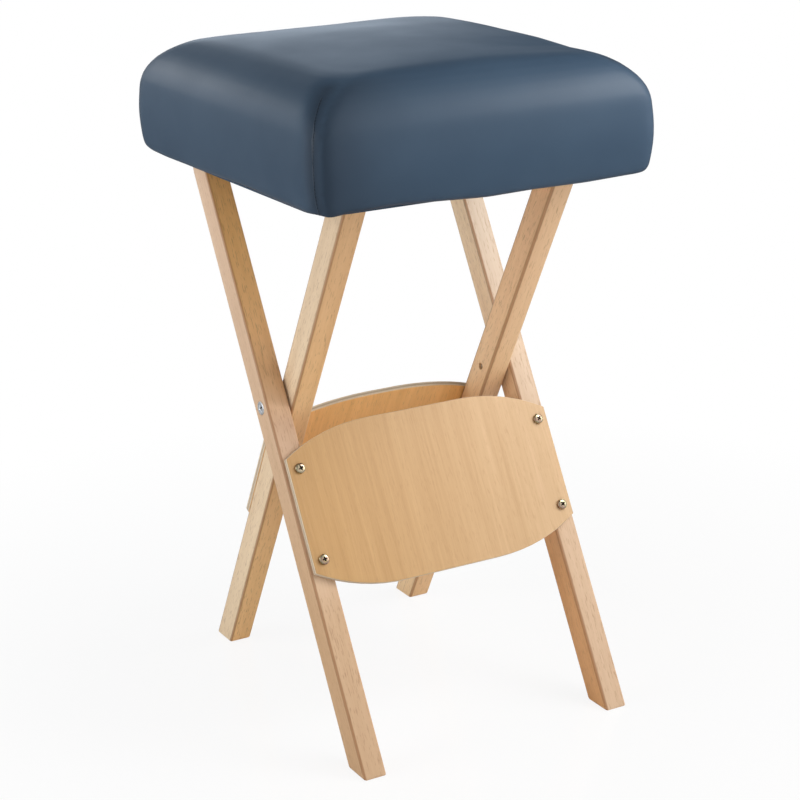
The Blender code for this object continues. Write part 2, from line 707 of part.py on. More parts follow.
def add_staples(*layers):
    """Staples through the cover's flap into the spacer."""
    bottom = HINGE_DROP - GAP - STAPLE_WIRE
    slot_top = bottom + STAPLE_LENGTH + GAP
    slot_bottom = bottom + STAPLE_WIRE
    slots = bmesh.new()
    for name, (x, y), spin in staple_places():
        mesh = outline_mesh(name, staple_outline(), STAPLE_WIRE, FRONT_VIEW)
        add_part(name, mesh, BRIGHT_ZINC, seat_axis, (x, y, bottom), (0, 0, spin))
        size = (STAPLE_CROWN + 2 * GAP, STAPLE_WIRE + 2 * GAP, slot_top - slot_bottom)
        place = Matrix.Translation((x, y, (slot_top + slot_bottom) / 2)) @ Matrix.Rotation(spin, 4, "Z")
        bmesh.ops.create_cube(slots, size=1, matrix=place @ Matrix.Diagonal((*size, 1)))
    slots_mesh = bpy.data.meshes.new("staple_slots")
    slots.to_mesh(slots_mesh)
    slots.free()
    slot_cutter = add_cutter("staple_slots", slots_mesh, seat_axis)
    for layer in layers:
        cut(layer, slot_cutter)


def build_outer_frame():
    legs = [
        add_leg(f"outer_leg_{hand}", outer_axis, 1, side * OUTER_LEG_X, ROD_REACH)
        for side, hand in SIDES
    ]
    outline = panel_outline(
        OUTER_FACE - PANEL_INSET, FRONT_PANEL_SIDE, FRONT_PANEL_STRAIGHT, FRONT_PANEL_ARCH
    )
    panel = add_panel("front_panel", outer_axis, -1, outline)
    add_panel_screws(panel, -1, legs, OUTER_FACE)
    add_catch_rod(legs)
    return legs


def build_inner_frame():
    legs = [
        add_leg(f"inner_leg_{hand}", inner_axis, -1, side * INNER_LEG_X, HINGE_REACH)
        for side, hand in SIDES
    ]
    outline = panel_outline(
        INNER_FACE - BACK_PANEL_INSET, BACK_PANEL_SIDE, BACK_PANEL_STRAIGHT, BACK_PANEL_ARCH
    )
    panel = add_panel("back_panel", inner_axis, 1, outline)
    add_panel_screws(panel, 1, legs, INNER_FACE)
    return legs


def build_seat():
    cover = add_cover()
    board = add_board()
    add_foam()
    spacer = add_spacer(cover)
    add_staples(cover, spacer)
    dust_cover = add_dust_cover()
    battens = [add_batten(side, hand) for side, hand in SIDES]
    for (side, hand), batten in zip(SIDES, battens):
        add_batten_screws(side, hand, batten, board, dust_cover)
    return battens


clear_scene()
parts = new_collection("folding_stool")
cutters = new_collection("cutters")
inner_axis = axis_empty("inner_frame_axis", (0, PIVOT_Y, PIVOT_HEIGHT), LEG_ANGLE)
outer_axis = axis_empty("outer_frame_axis", (0, PIVOT_Y, PIVOT_HEIGHT), -LEG_ANGLE)
seat_axis = axis_empty("seat_hinge_axis", (0, HINGE_Y, HINGE_HEIGHT))

outer_legs = build_outer_frame()
inner_legs = build_inner_frame()
seat_battens = build_seat()
for (side, hand), outer_leg, inner_leg, batten in zip(SIDES, outer_legs, inner_legs, seat_battens):
    add_pivot(side, hand, outer_leg, inner_leg)
    add_seat_hinge(side, hand, inner_leg, batten)
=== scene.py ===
"""Looks of the folding stool: a padded vinyl seat on two crossed beech leg frames.

Lengths are in metres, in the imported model's own frame: +X is the stool's right side seen from the front,
+Y runs to the back and +Z is up.
"""
from math import pi, radians

import bmesh
import bpy
import numpy as np
from mathutils import Matrix, Vector


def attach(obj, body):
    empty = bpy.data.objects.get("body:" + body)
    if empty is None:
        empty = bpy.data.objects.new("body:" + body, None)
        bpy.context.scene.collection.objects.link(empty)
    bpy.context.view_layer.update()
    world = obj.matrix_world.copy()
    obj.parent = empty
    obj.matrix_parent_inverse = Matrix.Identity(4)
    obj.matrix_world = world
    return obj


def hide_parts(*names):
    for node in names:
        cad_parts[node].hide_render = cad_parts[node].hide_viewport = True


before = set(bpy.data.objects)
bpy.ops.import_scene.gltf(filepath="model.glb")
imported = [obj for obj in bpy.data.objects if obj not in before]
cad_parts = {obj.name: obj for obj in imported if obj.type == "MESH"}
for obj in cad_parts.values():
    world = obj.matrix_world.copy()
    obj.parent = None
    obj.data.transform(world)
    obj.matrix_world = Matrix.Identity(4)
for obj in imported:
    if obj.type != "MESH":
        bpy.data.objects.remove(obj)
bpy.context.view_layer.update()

# Leg frames
LEG_ANGLE = radians(29.14)
LEG_WIDTH = 0.022
LEG_DEPTH = 0.027
PIVOT = Vector((0, -0.0025857, 0.296))
HINGE = Vector((0, -0.1174323, 0.502))
OUTER_FACE = 0.140  # from the stool's middle to the outside of an outer leg
INNER_FACE = 0.116
PANEL_FACE = 0.0201  # from the middle of a leg to the outer face of its panel
PANEL_MIDDLE = 0.0168  # from the middle of a leg to the middle of its panel
PANEL_THICKNESS = 0.006
PANEL_DROP = 0.106  # from the pivot down the leg to the middle of a panel
SCREW_PITCH = 0.0845
SCREW_INSET = 0.013  # from a leg's outside to its panel screws
ROD_REACH = 0.2308518  # from the pivot up the outer legs
ROD_RADIUS = 0.004
ROD_HALF = 0.1296
ROD_CHAMFER = 0.0006

# Form of the seat pad
PAD_HALF_WIDTH = 0.1688
PAD_HALF_DEPTH = 0.1866
PAD_MIDDLE = 0.0020  # how far the pad's middle lies behind the stool's
PAD_BOTTOM = 0.5066
PAD_EDGE_HEIGHT = 0.1060  # from the underside to the edge of the top
PAD_TOP_ROUND = 0.0481
PAD_BOTTOM_ROUND = 0.0075
PAD_CORNER = 0.0154
PAD_CORNER_GROWTH = 0.4
PAD_CROWN = 0.0074
CROWN_START = 0.6  # of the edge's height
PAD_BULGE = 0.0014
PAD_DRAW_IN = 0.0013
POCKET_INSET = 0.0170  # from the pad's widest outline to the room for its board
POCKET_HEIGHT = 0.0310
FLAP_HALF_WIDTH = 0.1425  # to the inner edge of the turned-under vinyl
FLAP_HALF_DEPTH = 0.15525
FLAP_MIDDLE = 0.0013
FLAP_CORNER = 0.0130
FLAP_WIDTH = 0.0155
FLAP_BOTTOM = 0.5060
FLAP_THICKNESS = 0.0014
FLAP_WANDER = 0.0005
FLAP_STEPS = 24

SIDES = ((-1, "left"), (1, "right"))
EDGES = ("front", "back", "left", "right")


def new_object(name, data):
    """An object for a mesh, a lamp or the camera, put into the scene."""
    thing = bpy.data.objects.new(name, data)
    bpy.context.scene.collection.objects.link(thing)
    return thing


def add_piece(name, mesh, material, body):
    piece = new_object(name, mesh)
    mesh.materials.append(material)
    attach(piece, body)
    return piece


def grid_mesh(name, points, wrap_rows=False, wrap_columns=True):
    """Quads between neighbouring points of a grid, rows by columns, closed round where it wraps.

    Points that meet at a pole are merged, and the faces are turned outwards.
    """
    rows, columns = points.shape[:2]
    index = np.arange(rows * columns).reshape(rows, columns)
    if wrap_rows:
        index = np.concatenate([index, index[:1]])
    if wrap_columns:
        index = np.concatenate([index, index[:, :1]], 1)
    corners = (index[:-1, :-1], index[:-1, 1:], index[1:, 1:], index[1:, :-1])
    faces = np.stack([corner.ravel() for corner in corners], 1)
    mesh = bpy.data.meshes.new(name)
    mesh.from_pydata(points.reshape(-1, 3), [], faces.tolist())
    shape = bmesh.new()
    shape.from_mesh(mesh)
    bmesh.ops.remove_doubles(shape, verts=shape.verts, dist=1e-6)
    bmesh.ops.recalc_face_normals(shape, faces=shape.faces)
    shape.to_mesh(mesh)
    shape.free()
    mesh.shade_smooth()
    return mesh


def vectors_of(items, which):
    """One vector of each item, as an array of rows."""
    flat = np.empty(len(items) * 3, np.float32)
    items.foreach_get(which, flat)
    return flat.reshape(-1, 3).astype(float)


def places_of(mesh):
    return vectors_of(mesh.vertices, "co")


def normals_of(mesh):
    return vectors_of(mesh.vertex_normals, "vector")


def put_places(mesh, points):
    mesh.vertices.foreach_set("co", points.astype(np.float32).ravel())
    mesh.update()


def put_values(mesh, name, values):
    """Keeps a value for each vertex under a name that materials can read."""
    kept = mesh.attributes.new(name, "FLOAT", "POINT")
    kept.data.foreach_set("value", values.astype(np.float32))


def as_shown(piece):
    """The mesh of a piece with its modifiers applied."""
    graph = bpy.context.evaluated_depsgraph_get()
    return bpy.data.meshes.new_from_object(piece.evaluated_get(graph))


def smooth_step(value):
    """0 below 0, 1 above 1, and an S-shaped rise between."""
    held = np.clip(value, 0, 1)
    return held * held * (3 - 2 * held)


def points_at(x, y, z):
    """Points from their places on the three axes, which may be shared by whole rows or columns."""
    return np.stack(np.broadcast_arrays(x, y, z), -1)


def unit(rows):
    """Each row as a direction of length 1."""
    return rows / np.linalg.norm(rows, axis=1, keepdims=True)


def run_along(line):
    """Length along a line of points, from its start to each of them."""
    steps = np.linalg.norm(np.diff(line, axis=0), axis=1)
    return np.concatenate([[0], np.cumsum(steps)])


# Material nodes

WIDE = (0.3, 0.7)  # values of a noise that are spread over a whole range
NARROW = (0.35, 0.65)


def new_material(name):
    material = bpy.data.materials.new(name)
    material.use_nodes = True
    tree = material.node_tree
    return material, tree, tree.nodes["Principled BSDF"]


def give(tree, socket, value):
    """Joins a socket to a value that is a socket too, and sets it to any other."""
    if isinstance(value, bpy.types.NodeSocket):
        tree.links.new(value, socket)
    elif hasattr(socket.default_value, "__len__") and len(socket.default_value) == 4:
        socket.default_value = (*value[:3], 1)
    else:
        socket.default_value = value


def feed(tree, node, **values):
    """Gives values to a node's sockets, which are named with _ for spaces."""
    for name, value in values.items():
        give(tree, node.inputs[name.replace("_", " ")], value)


def add_node(tree, kind, **values):
    """A node with its properties and sockets set. A name such as _0 is a socket's place."""
    node = tree.nodes.new("ShaderNode" + kind)
    for name, value in values.items():
        if hasattr(node, name):
            setattr(node, name, value)
        elif name[1:].isdigit():
            give(tree, node.inputs[int(name[1:])], value)
        else:
            feed(tree, node, **{name: value})
    return node


def new_group(name, inputs, outputs):
    """A group of nodes with named sockets, from the kind of each. Whoever uses it gives every input."""
    tree = bpy.data.node_groups.new(name, "ShaderNodeTree")
    for way, sockets in (("INPUT", inputs), ("OUTPUT", outputs)):
        for socket, kind in sockets.items():
            tree.interface.new_socket(socket, in_out=way, socket_type="NodeSocket" + kind)
    return tree, tree.nodes.new("NodeGroupInput").outputs, tree.nodes.new("NodeGroupOutput")


def use_group(tree, group, **values):
    node = tree.nodes.new("ShaderNodeGroup")
    node.node_tree = group
    feed(tree, node, **values)
    return node.outputs


def math(tree, operation, first, second=0.0, third=0.0):
    return add_node(tree, "Math", operation=operation, _0=first, _1=second, _2=third).outputs[0]


def rise(tree, value, low, high, to_low=0.0, to_high=1.0):
    """A value mapped from one range to another, held at both ends."""
    return add_node(
        tree, "MapRange", Value=value, From_Min=low, From_Max=high, To_Min=to_low, To_Max=to_high
    ).outputs[0]


def towards(tree, vector, direction):
    """How far a vector reaches in a direction."""
    return add_node(tree, "VectorMath", operation="DOT_PRODUCT", _0=vector, _1=direction).outputs["Value"]


def blend_colours(tree, share, first, second, way="MIX"):
    node = add_node(tree, "Mix", data_type="RGBA", blend_type=way)
    give(tree, node.inputs[0], share)
    give(tree, node.inputs[6], first)
    give(tree, node.inputs[7], second)
    return node.outputs[2]


def darker(tree, colour, factors):
    return blend_colours(tree, 1.0, colour, factors, "MULTIPLY")


def colour_ramp(tree, share, colours, places=None):
    """Colours blended one into the next as a share runs from 0 to 1, at even steps or at given places."""
    places = places or [i / (len(colours) - 1) for i in range(len(colours))]
    node = add_node(tree, "ValToRGB", Fac=share)
    stops = node.color_ramp.elements
    stops[0].color = (*colours[0], 1)
    stops[1].color = (*colours[-1], 1)
    for place, colour in zip(places[1:-1], colours[1:-1]):
        stops.new(place).color = (*colour, 1)
    return node.outputs[0]


def noise(tree, vector, scale, detail, roughness=0.5):
    node = add_node(tree, "TexNoise", Vector=vector, Scale=scale, Detail=detail, Roughness=roughness)
    return node.outputs[0]


def stretched_noise(tree, vector, scales, detail, roughness=0.5):
    """Noise drawn out along an axis, from a scale for each axis."""
    stretched = add_node(tree, "VectorMath", operation="MULTIPLY", _0=vector, _1=scales).outputs[0]
    return noise(tree, stretched, 1.0, detail, roughness)


def own_place(tree):
    """Where a point of a piece lies in the stool's frame."""
    return add_node(tree, "TexCoord").outputs["Object"]


def own_axes(tree, tilt, origin):
    """Places turned about X, so that a leg or panel runs along its own Z from an origin."""
    place = -(Matrix.Rotation(tilt, 3, "X") @ Vector(origin))
    return add_node(
        tree, "Mapping", Vector=own_place(tree), Location=place, Rotation=(tilt, 0, 0)
    ).outputs[0]


def add_bump(tree, shader, height, strength, distance):
    bump = add_node(tree, "Bump", Strength=strength, Distance=distance, Height=height)
    feed(tree, shader, Normal=bump.outputs[0])


# Finishes

STREAK_SCALES = (70, 70, 2.4)  # per metre, drawn out along the grain
FIBRE_SCALES = (520, 520, 11)
FLECK_SCALES = (1150, 1150, 120)
FLECK_EDGE = (0.60, 0.70)
PEBBLE_SCALE = 1500.0
UNEVEN_SCALE = 16.0
STAIN_SCALE = 420.0
SCRATCH_SCALES = (300, 3000, 3000)
STAIN_SHARE = 0.6


def wood_grain_group():
    """Straight grain along Z: wide streaks, fine fibres and short dark flecks."""
    group, given, out = new_group(
        "wood grain",
        {
            "Vector": "Vector", "Light": "Color", "Dark": "Color", "Fleck": "Color",
            "Streaks": "Float", "Fibres": "Float", "Flecks": "Float",
        },
        {"Color": "Color", "Height": "Float"},
    )
    vector = given["Vector"]
    wide = rise(group, stretched_noise(group, vector, STREAK_SCALES, detail=3.0, roughness=0.6), *WIDE)
    fine = rise(group, stretched_noise(group, vector, FIBRE_SCALES, detail=2.0, roughness=0.6), *WIDE)
    short = rise(group, stretched_noise(group, vector, FLECK_SCALES, detail=1.0), *FLECK_EDGE)
    streak = math(group, "MULTIPLY", wide, given["Streaks"])
    fibre = math(group, "MULTIPLY", fine, given["Fibres"])
    fleck = math(group, "MULTIPLY", short, given["Flecks"])
    body = blend_colours(group, math(group, "ADD", streak, fibre), given["Light"], given["Dark"])
    colour = blend_colours(group, fleck, body, given["Fleck"])
    feed(group, out, Color=colour, Height=math(group, "SUBTRACT", fibre, fleck))
    return group


def pebble_group():
    """Fine pebbled face of coated cloth: small soft cells over a slow unevenness."""
    group, given, out = new_group(
        "vinyl pebble", {"Vector": "Vector"}, {"Height": "Float", "Shade": "Float"}
    )
    cells = add_node(group, "TexVoronoi", feature="SMOOTH_F1", Vector=given["Vector"], Scale=PEBBLE_SCALE)
    slow = noise(group, given["Vector"], UNEVEN_SCALE, detail=3.0)
    feed(group, out, Height=cells.outputs[0], Shade=slow)
    return group


def scuff_group():
    """Handling marks on plated metal: fine scratches and soft stains, as a value from 0 to 1."""
    group, given, out = new_group("plating scuffs", {"Vector": "Vector"}, {"Scuff": "Float"})
    stains = math(group, "MULTIPLY", noise(group, given["Vector"], STAIN_SCALE, detail=4.0), STAIN_SHARE)
    scratches = stretched_noise(group, given["Vector"], SCRATCH_SCALES, detail=1.0)
    feed(group, out, Scuff=math(group, "MULTIPLY_ADD", scratches, 1 - STAIN_SHARE, stains))
    return group


WOOD_GRAIN = wood_grain_group()
PEBBLE = pebble_group()
SCUFF = scuff_group()

LACQUER_IOR = 1.40
GRAIN_DEPTH = 0.0003
LEG_TONES = (-0.20, 0.16)  # from the pivot along a leg to its first and last tone
FACE_BLEND = 0.001
ARRIS_BLEND = 0.0004
ARRIS_REACH = (0.0015, 0.0026)
# Painted shade on the eased arrises: strong on each leg's left, slight on its right
ARRIS_SHADE_LEFT = 0.7
ARRIS_SHADE_RIGHT = 0.1
ARRIS_SHADE_BROWN = (0.33, 0.15, 0.06)
BEECH_STREAK = (0.82, 0.75, 0.68)  # tone of a streak, as factors of the wood's own
BEECH_FLECK = (0.30, 0.145, 0.065)
BEECH_GLOSS = (0.46, 0.36)  # roughness in a fleck and on a fibre


def beech(name, tilt, middle, outside_tones, inside_tones, front_tones):
    """Lacquered beech with its grain along the leg, and painted shade on its eased arrises, heavy at the
    leg's left and slight at its right.

    The leg's side faces are cut across the wood's rings and its front and back faces along them, which
    gives each face partly its own tone; the rest of the difference between the faces and between the
    stock's two sides is painted sheen and shade. Each row of tones runs from the foot to the top, with
    painted light and shade along the leg as well.
    """
    material, tree, shader = new_material(name)
    vector = own_axes(tree, tilt, PIVOT)
    place = add_node(tree, "SeparateXYZ", Vector=vector).outputs
    outward = math(tree, "SUBTRACT", math(tree, "ABSOLUTE", place[0]), middle)
    to_side = math(tree, "SUBTRACT", LEG_WIDTH / 2, math(tree, "ABSOLUTE", outward))
    to_front = math(tree, "SUBTRACT", LEG_DEPTH / 2, math(tree, "ABSOLUTE", place[1]))
    high = rise(tree, place[2], *LEG_TONES)
    outside = colour_ramp(tree, high, outside_tones)
    inside = colour_ramp(tree, high, inside_tones)
    front = colour_ramp(tree, high, front_tones)
    side = blend_colours(tree, rise(tree, outward, -FACE_BLEND, FACE_BLEND), inside, outside)
    is_front = rise(tree, math(tree, "SUBTRACT", to_side, to_front), -ARRIS_BLEND, ARRIS_BLEND)
    light = blend_colours(tree, is_front, side, front)
    grain = use_group(
        tree, WOOD_GRAIN, Vector=vector, Light=light, Dark=darker(tree, light, BEECH_STREAK),
        Fleck=BEECH_FLECK, Streaks=0.45, Fibres=0.30, Flecks=0.40,
    )
    # Painted shade along the arrises, heavier on the leg's left than on its right
    rightward = math(tree, "MULTIPLY", outward, math(tree, "SIGN", place[0]))
    shade = rise(tree, rightward, -FACE_BLEND, FACE_BLEND, ARRIS_SHADE_LEFT, ARRIS_SHADE_RIGHT)
    on_arris = rise(tree, math(tree, "MAXIMUM", to_side, to_front), *ARRIS_REACH, 1.0, 0.0)
    arris_shaded = math(tree, "MULTIPLY", on_arris, shade)
    feed(
        tree, shader, Base_Color=blend_colours(tree, arris_shaded, grain["Color"], ARRIS_SHADE_BROWN),
        Roughness=rise(tree, grain["Height"], -0.5, 0.5, *BEECH_GLOSS), IOR=LACQUER_IOR,
    )
    add_bump(tree, shader, grain["Height"], strength=0.12, distance=GRAIN_DEPTH)
    return material


VENEER_HALF = 0.11  # from the panel's middle to where its tone stops drifting
VENEER_DEPTH = (0.0026, 0.0028)  # from the panel's middle to the veneer's underside
VENEER_STREAK = (0.81, 0.756, 0.658)
VENEER_FLECK = (0.42, 0.235, 0.095)
PANEL_GLOSS = (0.7, 0.40)  # roughness of the edges and of the veneer
PLY_PLACES = (0.0, 0.30, 0.38, 1.0)  # of the layers, from the panel's middle to its face
PLY_TONES = ((0.48, 0.38, 0.275), (0.50, 0.40, 0.29), (0.73, 0.62, 0.47), (0.71, 0.58, 0.41))
PLY_FIBRE_ENDS = (0.45, 0.34, 0.23)
PLY_FIBRE_SCALE = 900.0


def veneered_ply(name, tilt, facing, left_tone, right_tone):
    """Beech-faced plywood: veneer on both faces and pale and darker layers on the edges.

    The veneer's tone drifts from one side of the panel to the other: painted sheen, which makes one side
    paler.
    """
    material, tree, shader = new_material(name)
    to_middle = Matrix.Rotation(-tilt, 3, "X") @ Vector((0, facing * PANEL_MIDDLE, 0))
    vector = own_axes(tree, tilt, PIVOT + to_middle)
    place = add_node(tree, "SeparateXYZ", Vector=vector).outputs
    light = blend_colours(tree, rise(tree, place[0], -VENEER_HALF, VENEER_HALF), left_tone, right_tone)
    grain = use_group(
        tree, WOOD_GRAIN, Vector=vector, Light=light, Dark=darker(tree, light, VENEER_STREAK),
        Fleck=VENEER_FLECK, Streaks=0.5, Fibres=0.42, Flecks=0.30,
    )
    depth = math(tree, "ABSOLUTE", place[1])
    layers = colour_ramp(tree, rise(tree, depth, 0, PANEL_THICKNESS / 2), PLY_TONES, PLY_PLACES)
    fibre_ends = rise(tree, noise(tree, vector, PLY_FIBRE_SCALE, detail=2.0), *WIDE, 0.0, 0.35)
    edge = blend_colours(tree, fibre_ends, layers, PLY_FIBRE_ENDS)
    on_face = rise(tree, depth, *VENEER_DEPTH)
    feed(
        tree, shader, Base_Color=blend_colours(tree, on_face, edge, grain["Color"]),
        Roughness=rise(tree, on_face, 0, 1, *PANEL_GLOSS), IOR=LACQUER_IOR,
    )
    add_bump(tree, shader, grain["Height"], strength=0.08, distance=GRAIN_DEPTH)
    return material


def pine(name):
    """Planed softwood with its grain along Y."""
    material, tree, shader = new_material(name)
    grain = use_group(
        tree, WOOD_GRAIN, Vector=own_axes(tree, pi / 2, (0, 0, 0)), Light=(0.66, 0.47, 0.27),
        Dark=(0.50, 0.31, 0.15), Fleck=(0.42, 0.24, 0.11), Streaks=0.7, Fibres=0.3, Flecks=0.15,
    )
    feed(tree, shader, Base_Color=grain["Color"], Roughness=0.62)
    add_bump(tree, shader, grain["Height"], strength=0.15, distance=GRAIN_DEPTH)
    return material


VINYL_LIGHT = (0.039, 0.069, 0.110)
VINYL_DARK = (0.035, 0.063, 0.102)
VINYL_DART_SHADE = (0.014, 0.022, 0.035)
# Painted shade in a seam's crease
VINYL_CREASE_SHADE = (0.004, 0.005, 0.008)
VINYL_IOR = 1.30
PEBBLE_DEPTH = 0.0002
# Share of painted shade beside a dart
DART_SHADE = 0.62
DART_DULLNESS = 0.25
DULL_SPREAD = 0.45  # power that makes the dull patch wider than the patch of painted shade
VINYL_GLOSS = (0.44, 0.40)
SEAM_GLOSS = (0.8, 0.38)  # roughness in the crease and on the lips
STITCH_LENGTH = 0.0032
CREASE_WIDTHS = (0.085, 0.135)  # its half, between stitches and at one, as shares of the seam


def vinyl_face(tree, shader):
    """The vinyl's pebble and gloss, set on the shader. Gives its colour and its unevenness."""
    pebble = use_group(tree, PEBBLE, Vector=own_place(tree))
    feed(tree, shader, IOR=VINYL_IOR)
    add_bump(tree, shader, pebble["Height"], strength=0.05, distance=PEBBLE_DEPTH)
    uneven = pebble["Shade"]
    return blend_colours(tree, rise(tree, uneven, *NARROW), VINYL_DARK, VINYL_LIGHT), uneven


def vinyl(name):
    """Navy upholstery vinyl: satin, finely pebbled, slightly uneven, and dull beside the darts, with
    painted shade there.
    """
    material, tree, shader = new_material(name)
    cloth, uneven = vinyl_face(tree, shader)
    beside = add_node(tree, "Attribute", attribute_name="beside_dart").outputs["Fac"]
    shade = rise(tree, beside, 0, 1, 0, DART_SHADE)
    satin = rise(tree, uneven, *WIDE, *VINYL_GLOSS)
    dull = math(tree, "POWER", beside, DULL_SPREAD)
    feed(
        tree, shader, Base_Color=blend_colours(tree, shade, cloth, VINYL_DART_SHADE),
        Roughness=math(tree, "MULTIPLY_ADD", dull, DART_DULLNESS, satin),
    )
    return material


def seam_vinyl(name):
    """The vinyl of a sewn dart, with painted shade in its crease and beside it, and stitches that dip along
    it.

    The seam's own map runs across it in U and along it, in metres, in V.
    """
    material, tree, shader = new_material(name)
    cloth, _ = vinyl_face(tree, shader)
    seam_map = add_node(tree, "TexCoord").outputs["UV"]
    place = add_node(tree, "SeparateXYZ", Vector=seam_map).outputs
    off_crease = math(tree, "ABSOLUTE", math(tree, "SUBTRACT", place[0], 0.5))
    stitch = math(tree, "SINE", math(tree, "MULTIPLY", place[1], 2 * pi / STITCH_LENGTH))
    width = rise(tree, stitch, -0.4, 0.4, *CREASE_WIDTHS)
    out_of_crease = rise(tree, math(tree, "DIVIDE", off_crease, width), 0.5, 1.0)
    # The seam's lips carry the painted shade beside the dart
    stretched = blend_colours(tree, DART_SHADE, cloth, VINYL_DART_SHADE)
    feed(
        tree, shader, Base_Color=blend_colours(tree, out_of_crease, VINYL_CREASE_SHADE, stretched),
        Roughness=rise(tree, out_of_crease, 0, 1, *SEAM_GLOSS),
    )
    return material


def dust_cloth(name):
    """Black unwoven cloth: matted fibres with a pressed dot pattern."""
    material, tree, shader = new_material(name)
    place = own_place(tree)
    fibres = noise(tree, place, scale=900.0, detail=5.0, roughness=0.7)
    dots = add_node(tree, "TexVoronoi", Vector=place, Scale=700.0, Randomness=0.15).outputs[0]
    colour = blend_colours(
        tree, rise(tree, fibres, *NARROW), (0.010, 0.010, 0.011), (0.026, 0.026, 0.028)
    )
    feed(tree, shader, Base_Color=colour, Roughness=0.9)
    add_bump(tree, shader, math(tree, "ADD", fibres, dots), strength=0.35, distance=0.0003)
    return material


TINT_SCALE = 190.0
TINT_SPREAD = (0.32, 0.68)
RECESS_DARK = (0.02, 0.015, 0.012)
RECESS_DARK_EDGE = (0.15, 0.6)
RECESS_DARK_MOST = 0.93
GLOSS_SPREAD = (0.75, 1.3)  # as factors of a metal's own roughness


def plated(name, tints, roughness):
    """Plated metal whose tint drifts over a piece, with scuffs in its gloss, and darker the deeper it lies
    in a recess.
    """
    material, tree, shader = new_material(name)
    place = own_place(tree)
    scuff = use_group(tree, SCUFF, Vector=place)["Scuff"]
    drift = rise(tree, noise(tree, place, TINT_SCALE, detail=1.0), *TINT_SPREAD)
    tint = colour_ramp(tree, drift, tints)
    recess = add_node(tree, "Attribute", attribute_name="in_recess").outputs["Fac"]
    recess_dark = rise(tree, recess, *RECESS_DARK_EDGE, 0.0, RECESS_DARK_MOST)
    gloss = (roughness * factor for factor in GLOSS_SPREAD)
    feed(
        tree, shader, Base_Color=blend_colours(tree, recess_dark, tint, RECESS_DARK), Metallic=1.0,
        Roughness=rise(tree, scuff, *WIDE, *gloss),
    )
    return material


def nylon(name):
    """Milky moulded nylon, a little mottled."""
    material, tree, shader = new_material(name)
    mottle = rise(tree, noise(tree, own_place(tree), scale=260.0, detail=2.0), *NARROW)
    colour = blend_colours(tree, mottle, (0.74, 0.73, 0.68), (0.82, 0.81, 0.77))
    feed(tree, shader, Base_Color=colour, Roughness=0.5)
    return material


def plywood(name):
    """Rotary-cut plywood with a wide, wandering figure."""
    material, tree, shader = new_material(name)
    figure = stretched_noise(tree, own_place(tree), scales=(26, 5, 900), detail=4.0, roughness=0.6)
    colour = blend_colours(tree, rise(tree, figure, *WIDE), (0.60, 0.44, 0.27), (0.44, 0.29, 0.16))
    feed(tree, shader, Base_Color=colour, Roughness=0.7)
    return material


VINYL = vinyl("navy_vinyl")
SEAM_VINYL = seam_vinyl("navy_vinyl_seam")
BRIGHT_ZINC = plated("bright_zinc", ((0.90, 0.93, 0.96), (0.84, 0.87, 0.90), (0.92, 0.94, 0.96)), 0.38)
YELLOW_ZINC = plated(
    "yellow_zinc", ((0.46, 0.35, 0.20), (0.48, 0.32, 0.26), (0.40, 0.38, 0.23), (0.56, 0.46, 0.32)), 0.27
)

# Seat pad

ROUND = ((1, 1), (-1, 1), (-1, -1), (1, -1))  # the corners, in the order of their angles
CORNERS = {
    "front_left": (-1, -1), "front_right": (1, -1), "back_right": (1, 1), "back_left": (-1, 1),
}


def round_columns(corner_steps, side_steps):
    """Round the pad: each column's angle, and its share of the way to each side.

    A corner holds its shares at 1 or -1 while the angle turns by a quarter. A side holds its angle while
    the shares run to the next corner.
    """
    signs = np.array(ROUND, float)
    turning = np.arange(corner_steps) / corner_steps
    running = np.arange(side_steps) / side_steps
    angles = np.concatenate([turning, np.ones(side_steps)])
    run = np.concatenate([np.zeros(corner_steps), running])
    quarter = np.arange(len(ROUND))[:, None]
    angle = (quarter + angles) * pi / 2
    start = signs[:, None, :]
    end = np.roll(signs, -1, 0)[:, None, :]
    share = start + (end - start) * run[None, :, None]
    return angle.ravel(), share[..., 0].ravel(), share[..., 1].ravel()


def pad_profile(bottom_steps, side_steps, top_steps):
    """Up the pad's side: inset from the widest outline and height above the underside.

    A quarter round at the hem, a side that draws in at the hem and bulges above it, and a wide quarter
    round over the top edge.
    """
    low = np.linspace(0, pi / 2, bottom_steps)
    up = np.linspace(0, 1, side_steps)
    top = np.linspace(0, pi / 2, top_steps)
    side_height = PAD_EDGE_HEIGHT - PAD_TOP_ROUND - PAD_BOTTOM_ROUND
    inset = np.concatenate([
        PAD_DRAW_IN + PAD_BOTTOM_ROUND * (1 - np.sin(low)),
        (PAD_DRAW_IN * (1 - up) ** 2 - PAD_BULGE * np.sin(pi * up))[1:-1],
        PAD_TOP_ROUND * (1 - np.cos(top)),
    ])
    height = np.concatenate([
        PAD_BOTTOM_ROUND * (1 - np.cos(low)),
        (PAD_BOTTOM_ROUND + side_height * up)[1:-1],
        PAD_EDGE_HEIGHT - PAD_TOP_ROUND + PAD_TOP_ROUND * np.sin(top),
    ])
    return inset, height


def pad_surface(inset, height, angle, across, along, shrink=0.0, scale=1.0):
    """Points of the pad for rows of inset and height and columns round it.

    A row is a rectangle with round corners, smaller by its inset, whose corner radius grows with the
    inset. Rows high on the pad rise towards the middle by a crown that falls off as a parabola each way.
    """
    corner = PAD_CORNER + PAD_CORNER_GROWTH * np.maximum(inset, 0)
    half_width = PAD_HALF_WIDTH - shrink
    half_depth = PAD_HALF_DEPTH - shrink
    x = (across * (half_width - inset - corner) + corner * np.cos(angle)) * scale
    y = (along * (half_depth - inset - corner) + corner * np.sin(angle)) * scale
    share = np.clip((height / PAD_EDGE_HEIGHT - CROWN_START) / (1 - CROWN_START), 0, 1)
    crown = PAD_CROWN * share * (1 - (x / half_width) ** 2) * (1 - (y / half_depth) ** 2)
    z = PAD_BOTTOM + height * (1 - shrink / PAD_EDGE_HEIGHT) + crown
    return points_at(x, y + PAD_MIDDLE, z)


